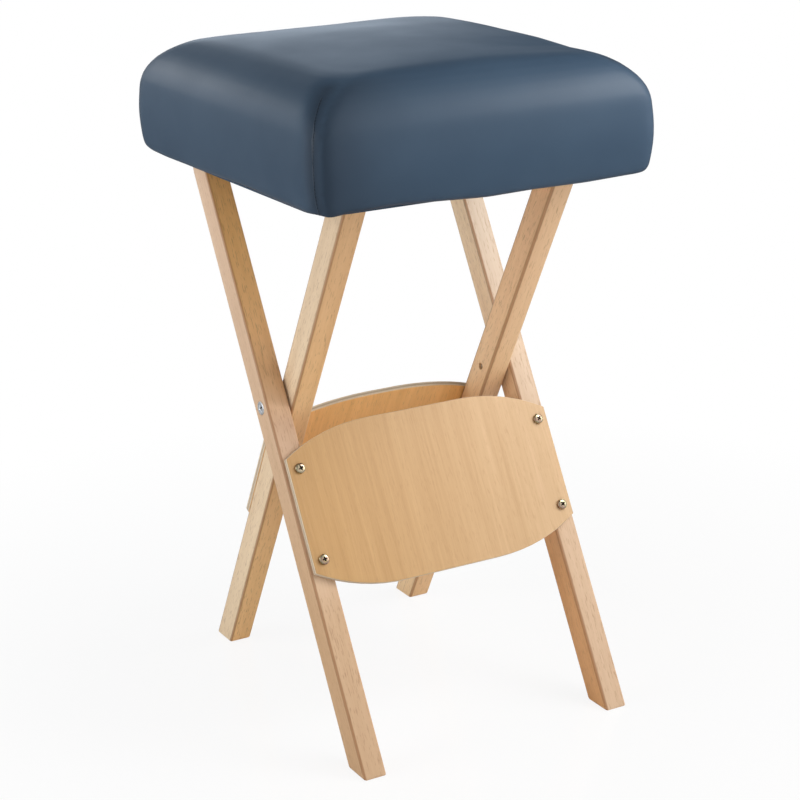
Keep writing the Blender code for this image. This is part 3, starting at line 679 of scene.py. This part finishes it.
def whole_pad(shrink):
    """The pad's closed surface, from the middle of the room for its board to the middle of its top.

    Rows run over that room's ceiling, down its wall, out along the underside, up the side and over the top.
    """
    side_inset, side_height = pad_profile(bottom_steps=8, side_steps=12, top_steps=20)
    spread = np.linspace(0, 1, 12)[:-1]
    wall = np.linspace(POCKET_HEIGHT, 0, 8)
    out = np.linspace(POCKET_INSET, side_inset[0], 5)[1:-1]
    inset = np.concatenate([
        np.full(len(spread) + len(wall), POCKET_INSET), out, side_inset,
        np.full(len(spread), side_inset[-1]),
    ])
    height = np.concatenate([
        np.full(len(spread), POCKET_HEIGHT), wall, 0 * out, side_height,
        np.full(len(spread), side_height[-1]),
    ])
    scale = np.concatenate([spread, np.ones(len(inset) - 2 * len(spread)), spread[::-1]])
    columns = round_columns(corner_steps=12, side_steps=24)
    return pad_surface(inset[:, None], height[:, None], *columns, shrink, scale[:, None])


SEAM_TOP = 0.1005  # above the underside
SEAM_LEAN = radians(22)
SEAM_END_LEAN = 0.35  # share of the lean at both ends


def seam_path(steps, corner):
    """The line of a sewn dart from its top end to the hem, over one of the four corners.

    It follows the corner beside its diagonal, and leans furthest towards the stool's side half way down.
    """
    inset, height = pad_profile(bottom_steps=12, side_steps=40, top_steps=60)
    end = np.searchsorted(height, SEAM_TOP)
    down = np.linspace(end, 0, steps)
    row = np.arange(len(inset))
    bow = SEAM_END_LEAN + (1 - SEAM_END_LEAN) * np.sin(pi * np.linspace(0, 1, steps))
    angle = (ROUND.index(corner) + 0.5) * pi / 2 - SEAM_LEAN * bow * corner[0] * corner[1]
    return pad_surface(np.interp(down, row, inset), np.interp(down, row, height), angle, *corner)


VOXEL = 0.005
CLOTH_STEPS = 20


def remeshed(name, mesh):
    """The same form in even small quads."""
    piece = new_object(name, mesh)
    even = piece.modifiers.new("even quads", "REMESH")
    even.mode = "VOXEL"
    even.voxel_size = VOXEL
    made = as_shown(piece)
    bpy.data.objects.remove(piece)
    return made


def swollen(mesh, held):
    """Where the cloth of a closed form settles under air pressure, with some of its vertices held."""
    piece = new_object("pad_form", mesh)
    group = piece.vertex_groups.new(name="held")
    group.add(np.flatnonzero(held).tolist(), 1.0, "REPLACE")
    cloth = piece.modifiers.new("stuffing", "CLOTH").settings
    cloth.quality = 5
    cloth.mass = 0.3
    cloth.tension_stiffness = 15
    cloth.compression_stiffness = 15
    cloth.shear_stiffness = 5
    cloth.bending_stiffness = 0.5
    cloth.use_pressure = True
    cloth.uniform_pressure_force = 4
    cloth.effector_weights.gravity = 0
    cloth.vertex_group_mass = "held"
    scene = bpy.context.scene
    for step in range(1, CLOTH_STEPS + 1):
        scene.frame_set(step)
    graph = bpy.context.evaluated_depsgraph_get()
    points = places_of(piece.evaluated_get(graph).data)
    bpy.data.objects.remove(piece)
    scene.frame_set(1)
    return points


def evened(mesh, values, rounds):
    """Values at a mesh's vertices, averaged with their neighbours' along its edges, several times over."""
    ends = np.empty(len(mesh.edges) * 2, np.int32)
    mesh.edges.foreach_get("vertices", ends)
    first, second = ends.reshape(-1, 2).T
    size = len(values)
    count = np.bincount(ends, minlength=size)
    for _ in range(rounds):
        around = np.bincount(first, values[second], size) + np.bincount(second, values[first], size)
        values = (values + around / count) / 2
    return values


def near_lines(points, lines):
    """How far each point lies from the nearest point of any of several lines."""
    gaps = [np.sqrt(((points[:, None, :] - line[None, :, :]) ** 2).sum(-1)).min(1) for line in lines]
    return np.min(gaps, 0)


def past_outline(points):
    """How far each point lies outside the pad's widest outline, along X or Y."""
    across = np.abs(points[:, 0]) - PAD_HALF_WIDTH
    along = np.abs(points[:, 1] - PAD_MIDDLE) - PAD_HALF_DEPTH
    return np.maximum(across, along)


# How far the hem hangs down at places along the front, and along the left side
HEM_FRONT = (
    (-0.163, -0.153, -0.146, -0.139, -0.116, -0.092, -0.060, -0.005, 0.040, 0.095, 0.140, 0.155, 0.165),
    (
        0.0006, 0.0020, 0.0006, -0.0008, -0.0012, -0.0018, -0.0004, 0.0026, 0.0018, 0.0024, 0.0012, 0.0018,
        0.0004,
    ),
)
HEM_LEFT = (
    (-0.180, -0.150, -0.120, -0.085, -0.050, -0.010, 0.040, 0.085, 0.130, 0.170),
    (0.0000, -0.0002, -0.0008, -0.0010, -0.0018, -0.0016, -0.0006, 0.0000, 0.0003, -0.0006),
)
HEM_TURN = 45  # share per metre by which one side's hem passes into the next
HEM_CORNER_DROP = 0.0040
HEM_CORNER_REACH = 0.011
HEM_HEIGHT = 0.030  # above the underside, where the hem's sag has faded out
HEM_FADE = 0.028
HEM_DEPTH = 0.022  # in from the outline, where the hem's sag has faded out
HEM_DEPTH_FADE = 0.014


def hem_drop(points):
    """How far the pad hangs down near its hem, in metres, from the place along each side.

    The front and left sides sag and lift by a few millimetres, and the other two mirror them. The sag
    fades up the side and in under the pad.
    """
    x = points[:, 0]
    y = points[:, 1]
    from_front = PAD_HALF_DEPTH - np.abs(y - PAD_MIDDLE)
    from_side = PAD_HALF_WIDTH - np.abs(x)
    on_front = smooth_step(0.5 + HEM_TURN * (from_side - from_front))
    corner = HEM_CORNER_DROP * np.exp(-(np.hypot(from_front, from_side) / HEM_CORNER_REACH) ** 2)
    drop = np.interp(x, *HEM_FRONT) * on_front + np.interp(y, *HEM_LEFT) * (1 - on_front) + corner
    low = smooth_step((PAD_BOTTOM + HEM_HEIGHT - points[:, 2]) / HEM_FADE)
    outer = smooth_step((past_outline(points) + HEM_DEPTH) / HEM_DEPTH_FADE)
    return drop * low * outer


# How far the top sinks at places out from the middle of its back edge, and along its right edge
RIM_BACK = ((0.000, 0.055, 0.105, 0.140, 0.165), (0.0028, 0.0026, 0.0018, 0.0006, 0.0000))
RIM_RIGHT = (
    (-0.172, -0.150, -0.125, -0.100, -0.050, 0.013, 0.070, 0.110, 0.150),
    (0.0000, 0.0010, 0.0030, 0.0037, 0.0014, 0.0006, -0.0005, -0.0010, 0.0000),
)
RIM_WIDTH = 0.045  # of the band along the top's edge that sinks fully
RIM_FADE = 0.115
RIM_LOW = 0.045  # above the underside, where the sinking starts
RIM_RISE = 0.045


def rim_sink(points):
    """How far the top's back and right edges sink between the corners, in metres.

    Each edge has its own line of depths, which fades towards the middle of the top and down the side.
    """
    x = points[:, 0]
    y = points[:, 1] - PAD_MIDDLE
    near_back = smooth_step((RIM_WIDTH + RIM_FADE - PAD_HALF_DEPTH + y) / RIM_FADE)
    near_right = smooth_step((RIM_WIDTH + RIM_FADE - PAD_HALF_WIDTH + x) / RIM_FADE)
    high = smooth_step((points[:, 2] - PAD_BOTTOM - RIM_LOW) / RIM_RISE)
    sink = np.interp(np.abs(x), *RIM_BACK) * near_back + np.interp(y, *RIM_RIGHT) * near_right
    return high * sink / np.maximum(1, near_back + near_right)


START_SMALLER = 0.0025
HELD_HEM = 0.004  # reach of the held cloth above the underside and round the board
HELD_BESIDE_DART = 0.005
SWELL_MOST = 0.0012  # of the cloth's own swelling that is kept
SWELL_SOFT = 0.006
SWELL_ROUNDS = 12
DART_DRAW = 0.0016
DART_DRAW_REACH = 0.010
# Reach of the painted shade and dullness beside a dart
DART_SHADE_SIDE = 0.009
DART_SHADE_FRONT = 0.050  # on the front beside the left darts, where the painted shade reaches wider; the right darts take the side's reach


def stuffed(mesh, lines):
    """Points of the pad's form moved out along their normals by an evened, softly limited swelling."""
    points = places_of(mesh)
    normals = normals_of(mesh)
    low = points[:, 2] - PAD_BOTTOM
    at_board = (past_outline(points) < HELD_HEM - POCKET_INSET) & (low < POCKET_HEIGHT + HELD_HEM)
    held = (low < HELD_HEM) | (near_lines(points, lines) < HELD_BESIDE_DART) | at_board
    moved = ((swollen(mesh, held) - points) * normals).sum(1)
    swell = SWELL_MOST * np.tanh(evened(mesh, moved, SWELL_ROUNDS) / SWELL_SOFT)
    return points + normals * swell[:, None]


def make_pad():
    """The vinyl seat pad: its form, swollen as stuffed cloth, and fitted to its full size.

    It is drawn in along the darts, hangs at the hem, and sinks along the top's back and right edges.
    """
    mesh = remeshed("pad_form", grid_mesh("pad_form", whole_pad(START_SMALLER)))
    lines = [seam_path(60, corner) for corner in CORNERS.values()]
    points = stuffed(mesh, lines)
    goal = whole_pad(0.0).reshape(-1, 3)
    size = points.max(0) - points.min(0)
    points = (points - points.min(0)) / size * (goal.max(0) - goal.min(0)) + goal.min(0)
    put_places(mesh, points)
    to_seam = near_lines(points, lines)
    drawn = DART_DRAW * np.exp(-(to_seam / DART_DRAW_REACH) ** 2)
    points = points - normals_of(mesh) * drawn[:, None]
    points[:, 2] -= hem_drop(points) + rim_sink(points)
    put_places(mesh, points)
    # Painted shade and dullness beside the darts, reaching wider on the front of the left darts
    facing = np.abs(normals_of(mesh))
    on_front = smooth_step(2 * (facing[:, 1] - facing[:, 0])) * (points[:, 0] < 0)
    reach = DART_SHADE_SIDE + (DART_SHADE_FRONT - DART_SHADE_SIDE) * on_front
    put_values(mesh, "beside_dart", np.exp(-(to_seam / reach) ** 2))
    mesh.name = "seat_pad"
    mesh.shade_smooth()
    pad = add_piece("seat_pad", mesh, VINYL, "seat")
    finer = pad.modifiers.new("finer quads", "SUBSURF")
    finer.levels = 1
    finer.render_levels = 1
    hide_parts("seat_cover", "foam_pad")
    return pad


def make_flap():
    """The cover's edge turned under the seat: a thin strip with a soft edge, carried round the opening.

    Its section is a circle that is stretched and cut off to a flat loop. Each point of the loop follows a
    rectangle with round corners, and the cut edge wanders by two waves of different lengths.
    """
    turn = (np.arange(FLAP_STEPS) * 2 * pi / FLAP_STEPS)[:, None]
    angle, across, along = round_columns(corner_steps=8, side_steps=40)
    wander = FLAP_WANDER * (np.sin(9 * angle + 31 * across) + np.sin(47 * along + 2))
    inward = np.clip(0.5 + 0.62 * np.cos(turn), 0, 1)
    out = FLAP_WIDTH * (1 - inward) + wander * inward
    corner = FLAP_CORNER + out
    x = across * (FLAP_HALF_WIDTH - FLAP_CORNER) + corner * np.cos(angle)
    y = along * (FLAP_HALF_DEPTH - FLAP_CORNER) + corner * np.sin(angle) + FLAP_MIDDLE
    z = FLAP_BOTTOM + FLAP_THICKNESS * (0.5 + 0.5 * np.clip(3 * np.sin(turn), -1, 1))
    strip = grid_mesh("seat_flap", points_at(x, y, z), wrap_rows=True)
    flap = add_piece("seat_flap", strip, VINYL, "seat")


# Across a sewn dart: places from its crease and heights over the pad, in millimetres. Two folded lips meet
# in a sharp crease, and their outer edges run out below the pad's face.
SEAM_ACROSS = (
    -2.6, -2.0, -1.5, -1.1, -0.75, -0.5, -0.3, -0.15, 0.0, 0.15, 0.3, 0.5, 0.75, 1.1, 1.5, 2.0, 2.6,
)
SEAM_HEIGHTS = (
    -0.30, -0.04, 0.02, 0.05, 0.08, 0.09, 0.05, -0.20, -0.45, -0.15, 0.14, 0.20, 0.18, 0.11, 0.04, -0.04,
    -0.30,
)
MILLIMETRES = 1000
SEAM_TAPER = 12  # the top end tapers over the length divided by this
SEAM_END_WIDTH = 0.3
SEAM_END_SINK = 0.0004
GUIDE_CLEARANCE = 0.004


def make_seam(name, corner, pad):
    """A sewn dart: its section carried down one corner of the finished pad.

    The section is first laid out flat beside the pad, drawn onto its face, and then raised by its heights.
    """
    line = seam_path(150, corner)
    along = unit(np.gradient(line, axis=0))
    outward = np.array((*corner, 0.0)) / np.sqrt(2)
    across = unit(np.cross(along, outward))
    offset = np.array(SEAM_ACROSS) / MILLIMETRES
    height = np.array(SEAM_HEIGHTS) / MILLIMETRES
    taper = smooth_step(np.linspace(0, SEAM_TAPER, len(line)))[:, None]
    width = offset[None, :] * (SEAM_END_WIDTH + (1 - SEAM_END_WIDTH) * taper)
    flat = line[:, None, :] + across[:, None, :] * width[..., None] + outward * GUIDE_CLEARANCE
    guide = new_object(name, grid_mesh(name, flat, wrap_columns=False))
    wrap = guide.modifiers.new("onto the pad", "SHRINKWRAP")
    wrap.target = pad
    wrap.wrap_method = "NEAREST_SURFACEPOINT"
    base = places_of(as_shown(guide)).reshape(flat.shape)
    bpy.data.objects.remove(guide)
    normal = np.cross(across, along)
    normal *= np.sign(normal @ outward)[:, None]
    raised = height[None, :] * taper - SEAM_END_SINK * (1 - taper)
    mesh = grid_mesh(name, base + normal[:, None, :] * raised[..., None], wrap_columns=False)
    map_seam(mesh, offset, line)
    seam = add_piece(name, mesh, SEAM_VINYL, "seat")


def map_seam(mesh, offset, line):
    """The seam's map: U runs across it from 0 to 1, and V is the length along it in metres."""
    corner_of = np.empty(len(mesh.loops), np.int32)
    mesh.loops.foreach_get("vertex_index", corner_of)
    u = (offset / np.ptp(offset) + 0.5)[corner_of % len(offset)]
    v = run_along(line)[corner_of // len(offset)]
    layer = mesh.uv_layers.new(name="seam")
    layer.data.foreach_set("uv", np.stack([u, v], 1).astype(np.float32).ravel())


pad = make_pad()
make_flap()
for corner_name, corner in CORNERS.items():
    make_seam("seat_dart_" + corner_name, corner, pad)


# Screws, bolts and the catch rod

SLOT_WIDEST = 1.15  # of its nominal width, in the middle of the recess
SLOT_NARROWING = 0.3
SLOT_WALL = 0.35
SLOT_FLOOR = 1.6
FASTENER_SIDES = 72
FASTENER_STEPS = 60
RECESS_STEPS = 26
RECESS_FINE = 1.1  # of its reach, where its small steps end
RECESS_END = 1.2
ROD_SIDES = 40
CRISP_ANGLE = radians(35)


def cross_recess(x, y, reach, width, depth):
    """Depth of a cross recess: two crossed, tapered slots with slanted walls, deepest in the middle."""
    out = np.hypot(x, y)
    from_slot = np.minimum(np.abs(x), np.abs(y))
    half = width / 2 * (SLOT_WIDEST - SLOT_NARROWING * out / reach)
    wall = smooth_step((half - from_slot) / (SLOT_WALL * half) + 0.5)
    floor = smooth_step(SLOT_FLOOR * (1 - out / reach))
    return depth * wall * floor


def turned(radius, height, sides):
    """A profile spun about Z: rows are points of the profile, columns are angles."""
    angle = np.arange(sides) * 2 * pi / sides
    x = radius[:, None] * np.cos(angle)
    y = radius[:, None] * np.sin(angle)
    return points_at(x, y, height[:, None])


def fastener(node, profile, recess, place, axes, material, body):
    """A screw or bolt: its profile spun about its own Z, with a cross recess pressed into the head.

    The profile lists radius and height from the middle of the head, round its edge, to the tip.
    """
    name = node + "_driven"
    corner = np.array(profile)
    run = run_along(corner)
    reach, width, depth = recess
    even = np.linspace(0, run[-1], FASTENER_STEPS)
    fine = np.linspace(0, reach * RECESS_FINE, RECESS_STEPS)
    stations = np.unique(np.concatenate([run, even, fine]))
    radius = np.interp(stations, run, corner[:, 0])
    height = np.interp(stations, run, corner[:, 1])
    points = turned(radius, height, FASTENER_SIDES)
    on_head = (stations < reach * RECESS_END)[:, None]
    points[..., 2] -= on_head * cross_recess(points[..., 0], points[..., 1], reach, width, depth)
    turn = np.array(axes.to_3x3())
    mesh = grid_mesh(name, points @ turn.T + np.array(place))
    local = (places_of(mesh) - np.array(place)) @ turn
    put_values(mesh, "in_recess", cross_recess(local[:, 0], local[:, 1], reach, width, 1.0))
    piece = add_piece(name, mesh, material, body)
    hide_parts(node)


def pan_head(head_radius, head_height, radius, length):
    """A domed head, a quarter of an ellipse, with a soft edge, and a pointed shank."""
    turn = np.linspace(0, pi / 2, 9)
    dome_radius = head_radius * 0.97 * np.sin(turn)
    dome_height = head_height * (0.55 + 0.45 * np.cos(turn))
    edge_and_shank = [
        (head_radius, head_height * 0.42), (head_radius, head_height * 0.10), (head_radius * 0.96, 0),
        (radius, 0), (radius, 2 * radius - length), (radius * 0.3, -length), (0, -length),
    ]
    return np.concatenate([np.stack([dome_radius, dome_height], 1), edge_and_shank])


def flat_head(head_radius, top, seat, radius, end):
    """A flat head with an eased edge, and a shank with a chamfered end."""
    ease = 0.0004
    return [
        (0, top), (head_radius - ease, top), (head_radius, top - ease), (head_radius, seat),
        (radius, seat), (radius, end + ease), (radius - ease, end), (0, end),
    ]


PAN_HEAD = pan_head(head_radius=0.0049, head_height=0.0032, radius=0.0021, length=0.020)
PIVOT_BOLT = flat_head(head_radius=0.0062, top=0.0005, seat=-0.0011, radius=0.003, end=-0.0439)
HINGE_BOLT = flat_head(head_radius=0.0052, top=-0.0003, seat=-0.0043, radius=0.003, end=-0.0503)
SCREW_RECESS = (0.0027, 0.0014, 0.0018)  # reach, width of the slots and depth
PIVOT_RECESS = (0.0036, 0.0016, 0.0020)
HINGE_RECESS = (0.0030, 0.0015, 0.0019)
SCREW_TURNS = {"upper_left": 0.35, "lower_left": 0.15, "upper_right": 0.9, "lower_right": 0.55}
PIVOT_TURN = 0.55
HINGE_TURN = 0.2


def add_panel_screws(panel, facing, tilt, leg_face, body):
    """Four pan heads on a panel's outer face, each turned as far as it happened to be driven."""
    frame_turn = Matrix.Rotation(tilt, 4, "X")
    out = Matrix.Rotation(-facing * pi / 2, 4, "X")
    for side, hand in SIDES:
        for level, word in ((1, "upper"), (-1, "lower")):
            across = side * (leg_face - SCREW_INSET)
            spot = Vector((across, facing * PANEL_FACE, level * SCREW_PITCH / 2 - PANEL_DROP))
            spin = Matrix.Rotation(SCREW_TURNS[f"{word}_{hand}"], 4, "Z")
            fastener(
                f"{panel}_screw_{word}_{hand}", PAN_HEAD, SCREW_RECESS, PIVOT + frame_turn @ spot,
                frame_turn @ out @ spin, YELLOW_ZINC, body,
            )


def add_bolt(node, side, profile, recess, place, leg_face, turn):
    """A bolt driven in from the outside of a leg."""
    axes = Matrix.Rotation(side * pi / 2, 4, "Y") @ Matrix.Rotation(turn, 4, "Z")
    head = place + Vector((side * leg_face, 0, 0))
    fastener(node, profile, recess, head, axes, BRIGHT_ZINC, "inner_frame")


def make_rod():
    """The catch rod: a straight bar with chamfered ends, spun about its length."""
    end_radius = ROD_RADIUS - ROD_CHAMFER
    shoulder = ROD_HALF - ROD_CHAMFER
    radius = np.array((0, end_radius, ROD_RADIUS, ROD_RADIUS, end_radius, 0))
    height = np.array((-ROD_HALF, -ROD_HALF, -shoulder, shoulder, ROD_HALF, ROD_HALF))
    across = Matrix.Rotation(pi / 2, 3, "Y")
    middle = PIVOT + Matrix.Rotation(-LEG_ANGLE, 3, "X") @ Vector((0, 0, ROD_REACH))
    points = turned(radius, height, ROD_SIDES) @ np.array(across).T + np.array(middle)
    rod = add_piece("catch_rod_bar", grid_mesh("catch_rod_bar", points), BRIGHT_ZINC, "outer_frame")
    edges = rod.modifiers.new("crisp ends", "EDGE_SPLIT")
    edges.split_angle = CRISP_ANGLE
    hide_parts("catch_rod")


add_panel_screws("front_panel", -1, -LEG_ANGLE, OUTER_FACE, "outer_frame")
add_panel_screws("back_panel", 1, LEG_ANGLE, INNER_FACE, "inner_frame")
for side, hand in SIDES:
    add_bolt("pivot_bolt_" + hand, side, PIVOT_BOLT, PIVOT_RECESS, PIVOT, OUTER_FACE, PIVOT_TURN)
    add_bolt("hinge_bolt_" + hand, side, HINGE_BOLT, HINGE_RECESS, HINGE, INNER_FACE, HINGE_TURN)
make_rod()


# Finishes of the pieces that stay as the CAD has them


def dress(material, *names):
    for name in names:
        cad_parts[name].material_slots[0].material = material


# Tones of each leg's outside, of its inside, and of its front and back, from the foot to the top: partly
# the wood's own, partly painted sheen on pale faces and painted light and shade along each leg
BEECH_TONE_AND_LIGHT = {
    "outer_leg_left": (
        ((0.655, 0.425, 0.242), (0.73, 0.535, 0.385)),
        ((0.66, 0.380, 0.195), (0.88, 0.630, 0.420)),
        (
            (0.62, 0.415, 0.250), (0.79, 0.585, 0.420), (0.61, 0.395, 0.250), (0.97, 0.590, 0.275),
            (0.99, 0.590, 0.240),
        ),
    ),
    "outer_leg_right": (
        ((0.62, 0.390, 0.230), (0.73, 0.535, 0.385)),
        ((0.73, 0.400, 0.180), (0.99, 0.790, 0.555)),
        ((0.650, 0.460, 0.305), (0.620, 0.490, 0.362)),
    ),
    "inner_leg_left": (
        ((0.90, 0.720, 0.500), (0.775, 0.605, 0.420)),
        ((0.86, 0.550, 0.310), (0.80, 0.490, 0.270)),
        ((0.97, 0.630, 0.300), (0.74, 0.462, 0.237)),
    ),
    "inner_leg_right": (
        ((0.84, 0.640, 0.440), (0.76, 0.570, 0.380)),
        ((0.99, 0.740, 0.455), (0.94, 0.610, 0.352)),
        ((0.83, 0.555, 0.305), (0.77, 0.515, 0.305)),
    ),
}
FRONT_TONES = ((0.577, 0.340, 0.139), (0.650, 0.437, 0.247))  # of the panel's left and right side; the right side's paler tone is painted sheen
# The back panel's beech is made deep orange by painted warm bounce light in the shade between the panels
BACK_TONES = ((0.98, 0.565, 0.205), (0.98, 0.575, 0.215))
BRASS_TINTS = ((0.72, 0.55, 0.25), (0.66, 0.48, 0.20), (0.76, 0.60, 0.31))

for leg, tones in BEECH_TONE_AND_LIGHT.items():
    tilt, face = (LEG_ANGLE, OUTER_FACE) if leg.startswith("outer") else (-LEG_ANGLE, INNER_FACE)
    dress(beech("beech_" + leg, tilt, face - LEG_WIDTH / 2, *tones), leg)
dress(veneered_ply("veneer_front_panel", LEG_ANGLE, -1, *FRONT_TONES), "front_panel")
dress(veneered_ply("veneer_back_panel", -LEG_ANGLE, 1, *BACK_TONES), "back_panel")
dress(plywood("plywood_seat_board"), "seat_board", "seat_spacer")
dress(dust_cloth("black_dust_cloth"), "dust_cover")
dress(pine("pine_battens"), "batten_left", "batten_right")
dress(plated("turned_brass", BRASS_TINTS, 0.32), "pivot_insert_left", "pivot_insert_right")
dress(nylon("nylon_washers"), *(f"{at}_washer_{hand}" for at in ("pivot", "hinge") for _, hand in SIDES))
dress(YELLOW_ZINC, *(f"batten_screw_{hand}_{i}" for _, hand in SIDES for i in (1, 2, 3)))
dress(BRIGHT_ZINC, "hinge_nut_left", "hinge_nut_right")
dress(BRIGHT_ZINC, *(f"staple_{edge}_{i}" for edge in EDGES for i in (1, 2, 3)))


# Floor, light and camera

VIEW_AHEAD = (0.486, 0.874, 0)  # level, from the camera's place to the stool
VIEW_RIGHT = (0.874, -0.486, 0)
SIDE_WALL = (0.586, -0.810, 0)
WHITE = (1, 1, 1)
HAZE_BLUE = (0.76, 0.87, 1.0)
FLOOR_RADIUS = 14
FLOOR_HEIGHT = -0.0002
FLOOR_WHITE = 0.92
FLOOR_MIRRORED = 0.40  # the floor's white as reflections show it
SHADOW_REACH = (0.30, 0.80)  # from the floor's middle to where its shadows fade out
SHADED_WHITE = 0.88  # share of plain white near the middle
FLOOR_FAR = (2.4, 4.0)  # from the floor's middle to where it turns plain white
FLOOR_BEHIND = (4.5, 7.0)  # behind the stool, where it does so in reflections
ROOM_LIGHT = (0.26, 0.08)  # in front of the stool and behind it
WALL_LIGHT = 0.70
HAZE_LIGHT = (0.36, 3.4)
HAZE_TOP = 0.9
HAZE_FALL = 3.0
HAZE_EDGE = 0.085


def white_floor():
    """A white floor, plain white further out, that shows the object's shadow and a soft mirror image."""
    material, tree, shader = new_material("white_floor")
    place = own_place(tree)
    out = add_node(tree, "VectorMath", operation="LENGTH", _0=place).outputs["Value"]
    path = add_node(tree, "LightPath").outputs
    shown = rise(tree, path["Is Glossy Ray"], 0, 1, FLOOR_WHITE, FLOOR_MIRRORED)
    feed(tree, shader, Base_Color=shown, Roughness=0.16, IOR=2.0)
    white = add_node(tree, "Emission", Color=WHITE, Strength=1.0)
    seen = math(tree, "MULTIPLY", path["Is Camera Ray"], rise(tree, out, *SHADOW_REACH, SHADED_WHITE, 1.0))
    far = rise(tree, out, *FLOOR_FAR)
    backdrop = math(tree, "SUBTRACT", rise(tree, towards(tree, place, VIEW_AHEAD), *FLOOR_BEHIND), far)
    mirrored = math(tree, "MAXIMUM", path["Is Glossy Ray"], path["Is Transmission Ray"])
    share = math(tree, "MAXIMUM", seen, math(tree, "MULTIPLY_ADD", mirrored, backdrop, far))
    mix = add_node(tree, "MixShader", _0=share, _1=shader.outputs[0], _2=white.outputs[0])
    give(tree, tree.nodes["Material Output"].inputs["Surface"], mix.outputs[0])
    return material


def make_floor():
    """A flat round floor: rings of points out from the middle."""
    radius = np.linspace(0, FLOOR_RADIUS, 8)
    points = turned(radius, np.full(len(radius), FLOOR_HEIGHT), 48)
    floor = new_object("floor", grid_mesh("floor", points))
    floor.data.materials.append(white_floor())


def make_world():
    """A dim room, plain white to the camera, with a pale haze low behind the stool in reflections."""
    world = bpy.data.worlds.new("studio")
    world.use_nodes = True
    tree = world.node_tree
    toward = add_node(tree, "TexCoord").outputs["Generated"]
    path = add_node(tree, "LightPath").outputs
    behind = towards(tree, toward, VIEW_AHEAD)
    wall = rise(tree, towards(tree, toward, SIDE_WALL), 0.1, 0.8, 0.0, WALL_LIGHT)
    room = math(tree, "ADD", rise(tree, behind, 0.30, 0.75, *ROOM_LIGHT), wall)
    up = add_node(tree, "SeparateXYZ", Vector=toward).outputs[2]
    low = math(tree, "POWER", rise(tree, up, 0.0, HAZE_TOP, 1.0, 0.0), HAZE_FALL)
    left_half = rise(tree, towards(tree, toward, VIEW_RIGHT), 0.0, HAZE_EDGE, 1.0, 0.0)
    low_left = math(tree, "MULTIPLY", low, left_half)
    horizon = math(tree, "MULTIPLY", rise(tree, behind, 0.6, 0.95, *HAZE_LIGHT), low_left)
    mirrored = math(tree, "MULTIPLY", horizon, path["Is Glossy Ray"])
    indoors = tree.nodes["Background"]
    feed(tree, indoors, Color=WHITE, Strength=room)
    haze = add_node(tree, "Background", Color=HAZE_BLUE, Strength=mirrored)
    both = add_node(tree, "AddShader", _0=indoors.outputs[0], _1=haze.outputs[0])
    seen = math(tree, "MAXIMUM", path["Is Camera Ray"], path["Is Transmission Ray"])
    white = add_node(tree, "Background", Color=WHITE, Strength=1.0)
    shown = add_node(tree, "MixShader", _0=seen, _1=both.outputs[0], _2=white.outputs[0])
    give(tree, tree.nodes["World Output"].inputs["Surface"], shown.outputs[0])
    bpy.context.scene.world = world


# Name, place, aim, width, height, power, and whether reflections show it
LAMPS = (
    ("right softbox", (1.431, -0.752, 1.25), (0.481, 0.398, 0.40), 0.95, 1.7, 11.9, True),
    ("front fill", (0.565, -1.4685, 1.25), (-0.385, -0.3185, 0.40), 1.2, 1.7, 7.0, False),
    ("right near lamp", (0.47, -0.43, 0.84), (0.16, -0.15, 0.60), 0.30, 0.30, 2.3, True),
    ("left softbox", (-1.67, 0.30, 0.78), (0, 0, 0.45), 1.2, 1.2, 16.4, True),
    ("left near lamp", (-0.325, 0.60, 0.73), (-0.16, 0.15, 0.60), 0.20, 0.20, 0.35, True),
)


def add_lamp(name, place, aim, width, height, power, mirrored):
    lamp = bpy.data.lights.new(name, "AREA")
    lamp.shape = "RECTANGLE"
    lamp.size = width
    lamp.size_y = height
    lamp.energy = power
    box = new_object(name, lamp)
    box.visible_camera = False
    box.visible_glossy = mirrored
    box.location = place
    box.rotation_euler = (Vector(aim) - Vector(place)).to_track_quat("-Z", "Y").to_euler()


def make_camera():
    camera = new_object("camera", bpy.data.cameras.new("camera"))
    camera.data.lens = 93.305
    camera.data.sensor_width = 36
    camera.location = (-0.89805, -1.62447, 0.88120)
    heading = Matrix.Rotation(radians(-29.094), 3, "Z")
    pitch = Matrix.Rotation(radians(71.993), 3, "X")
    roll = Matrix.Rotation(radians(-1.335), 3, "Z")
    camera.rotation_euler = (heading @ pitch @ roll).to_euler()
    bpy.context.scene.camera = camera


make_floor()
make_world()
for lamp in LAMPS:
    add_lamp(*lamp)
make_camera()
bpy.context.scene.view_settings.view_transform = "Standard"
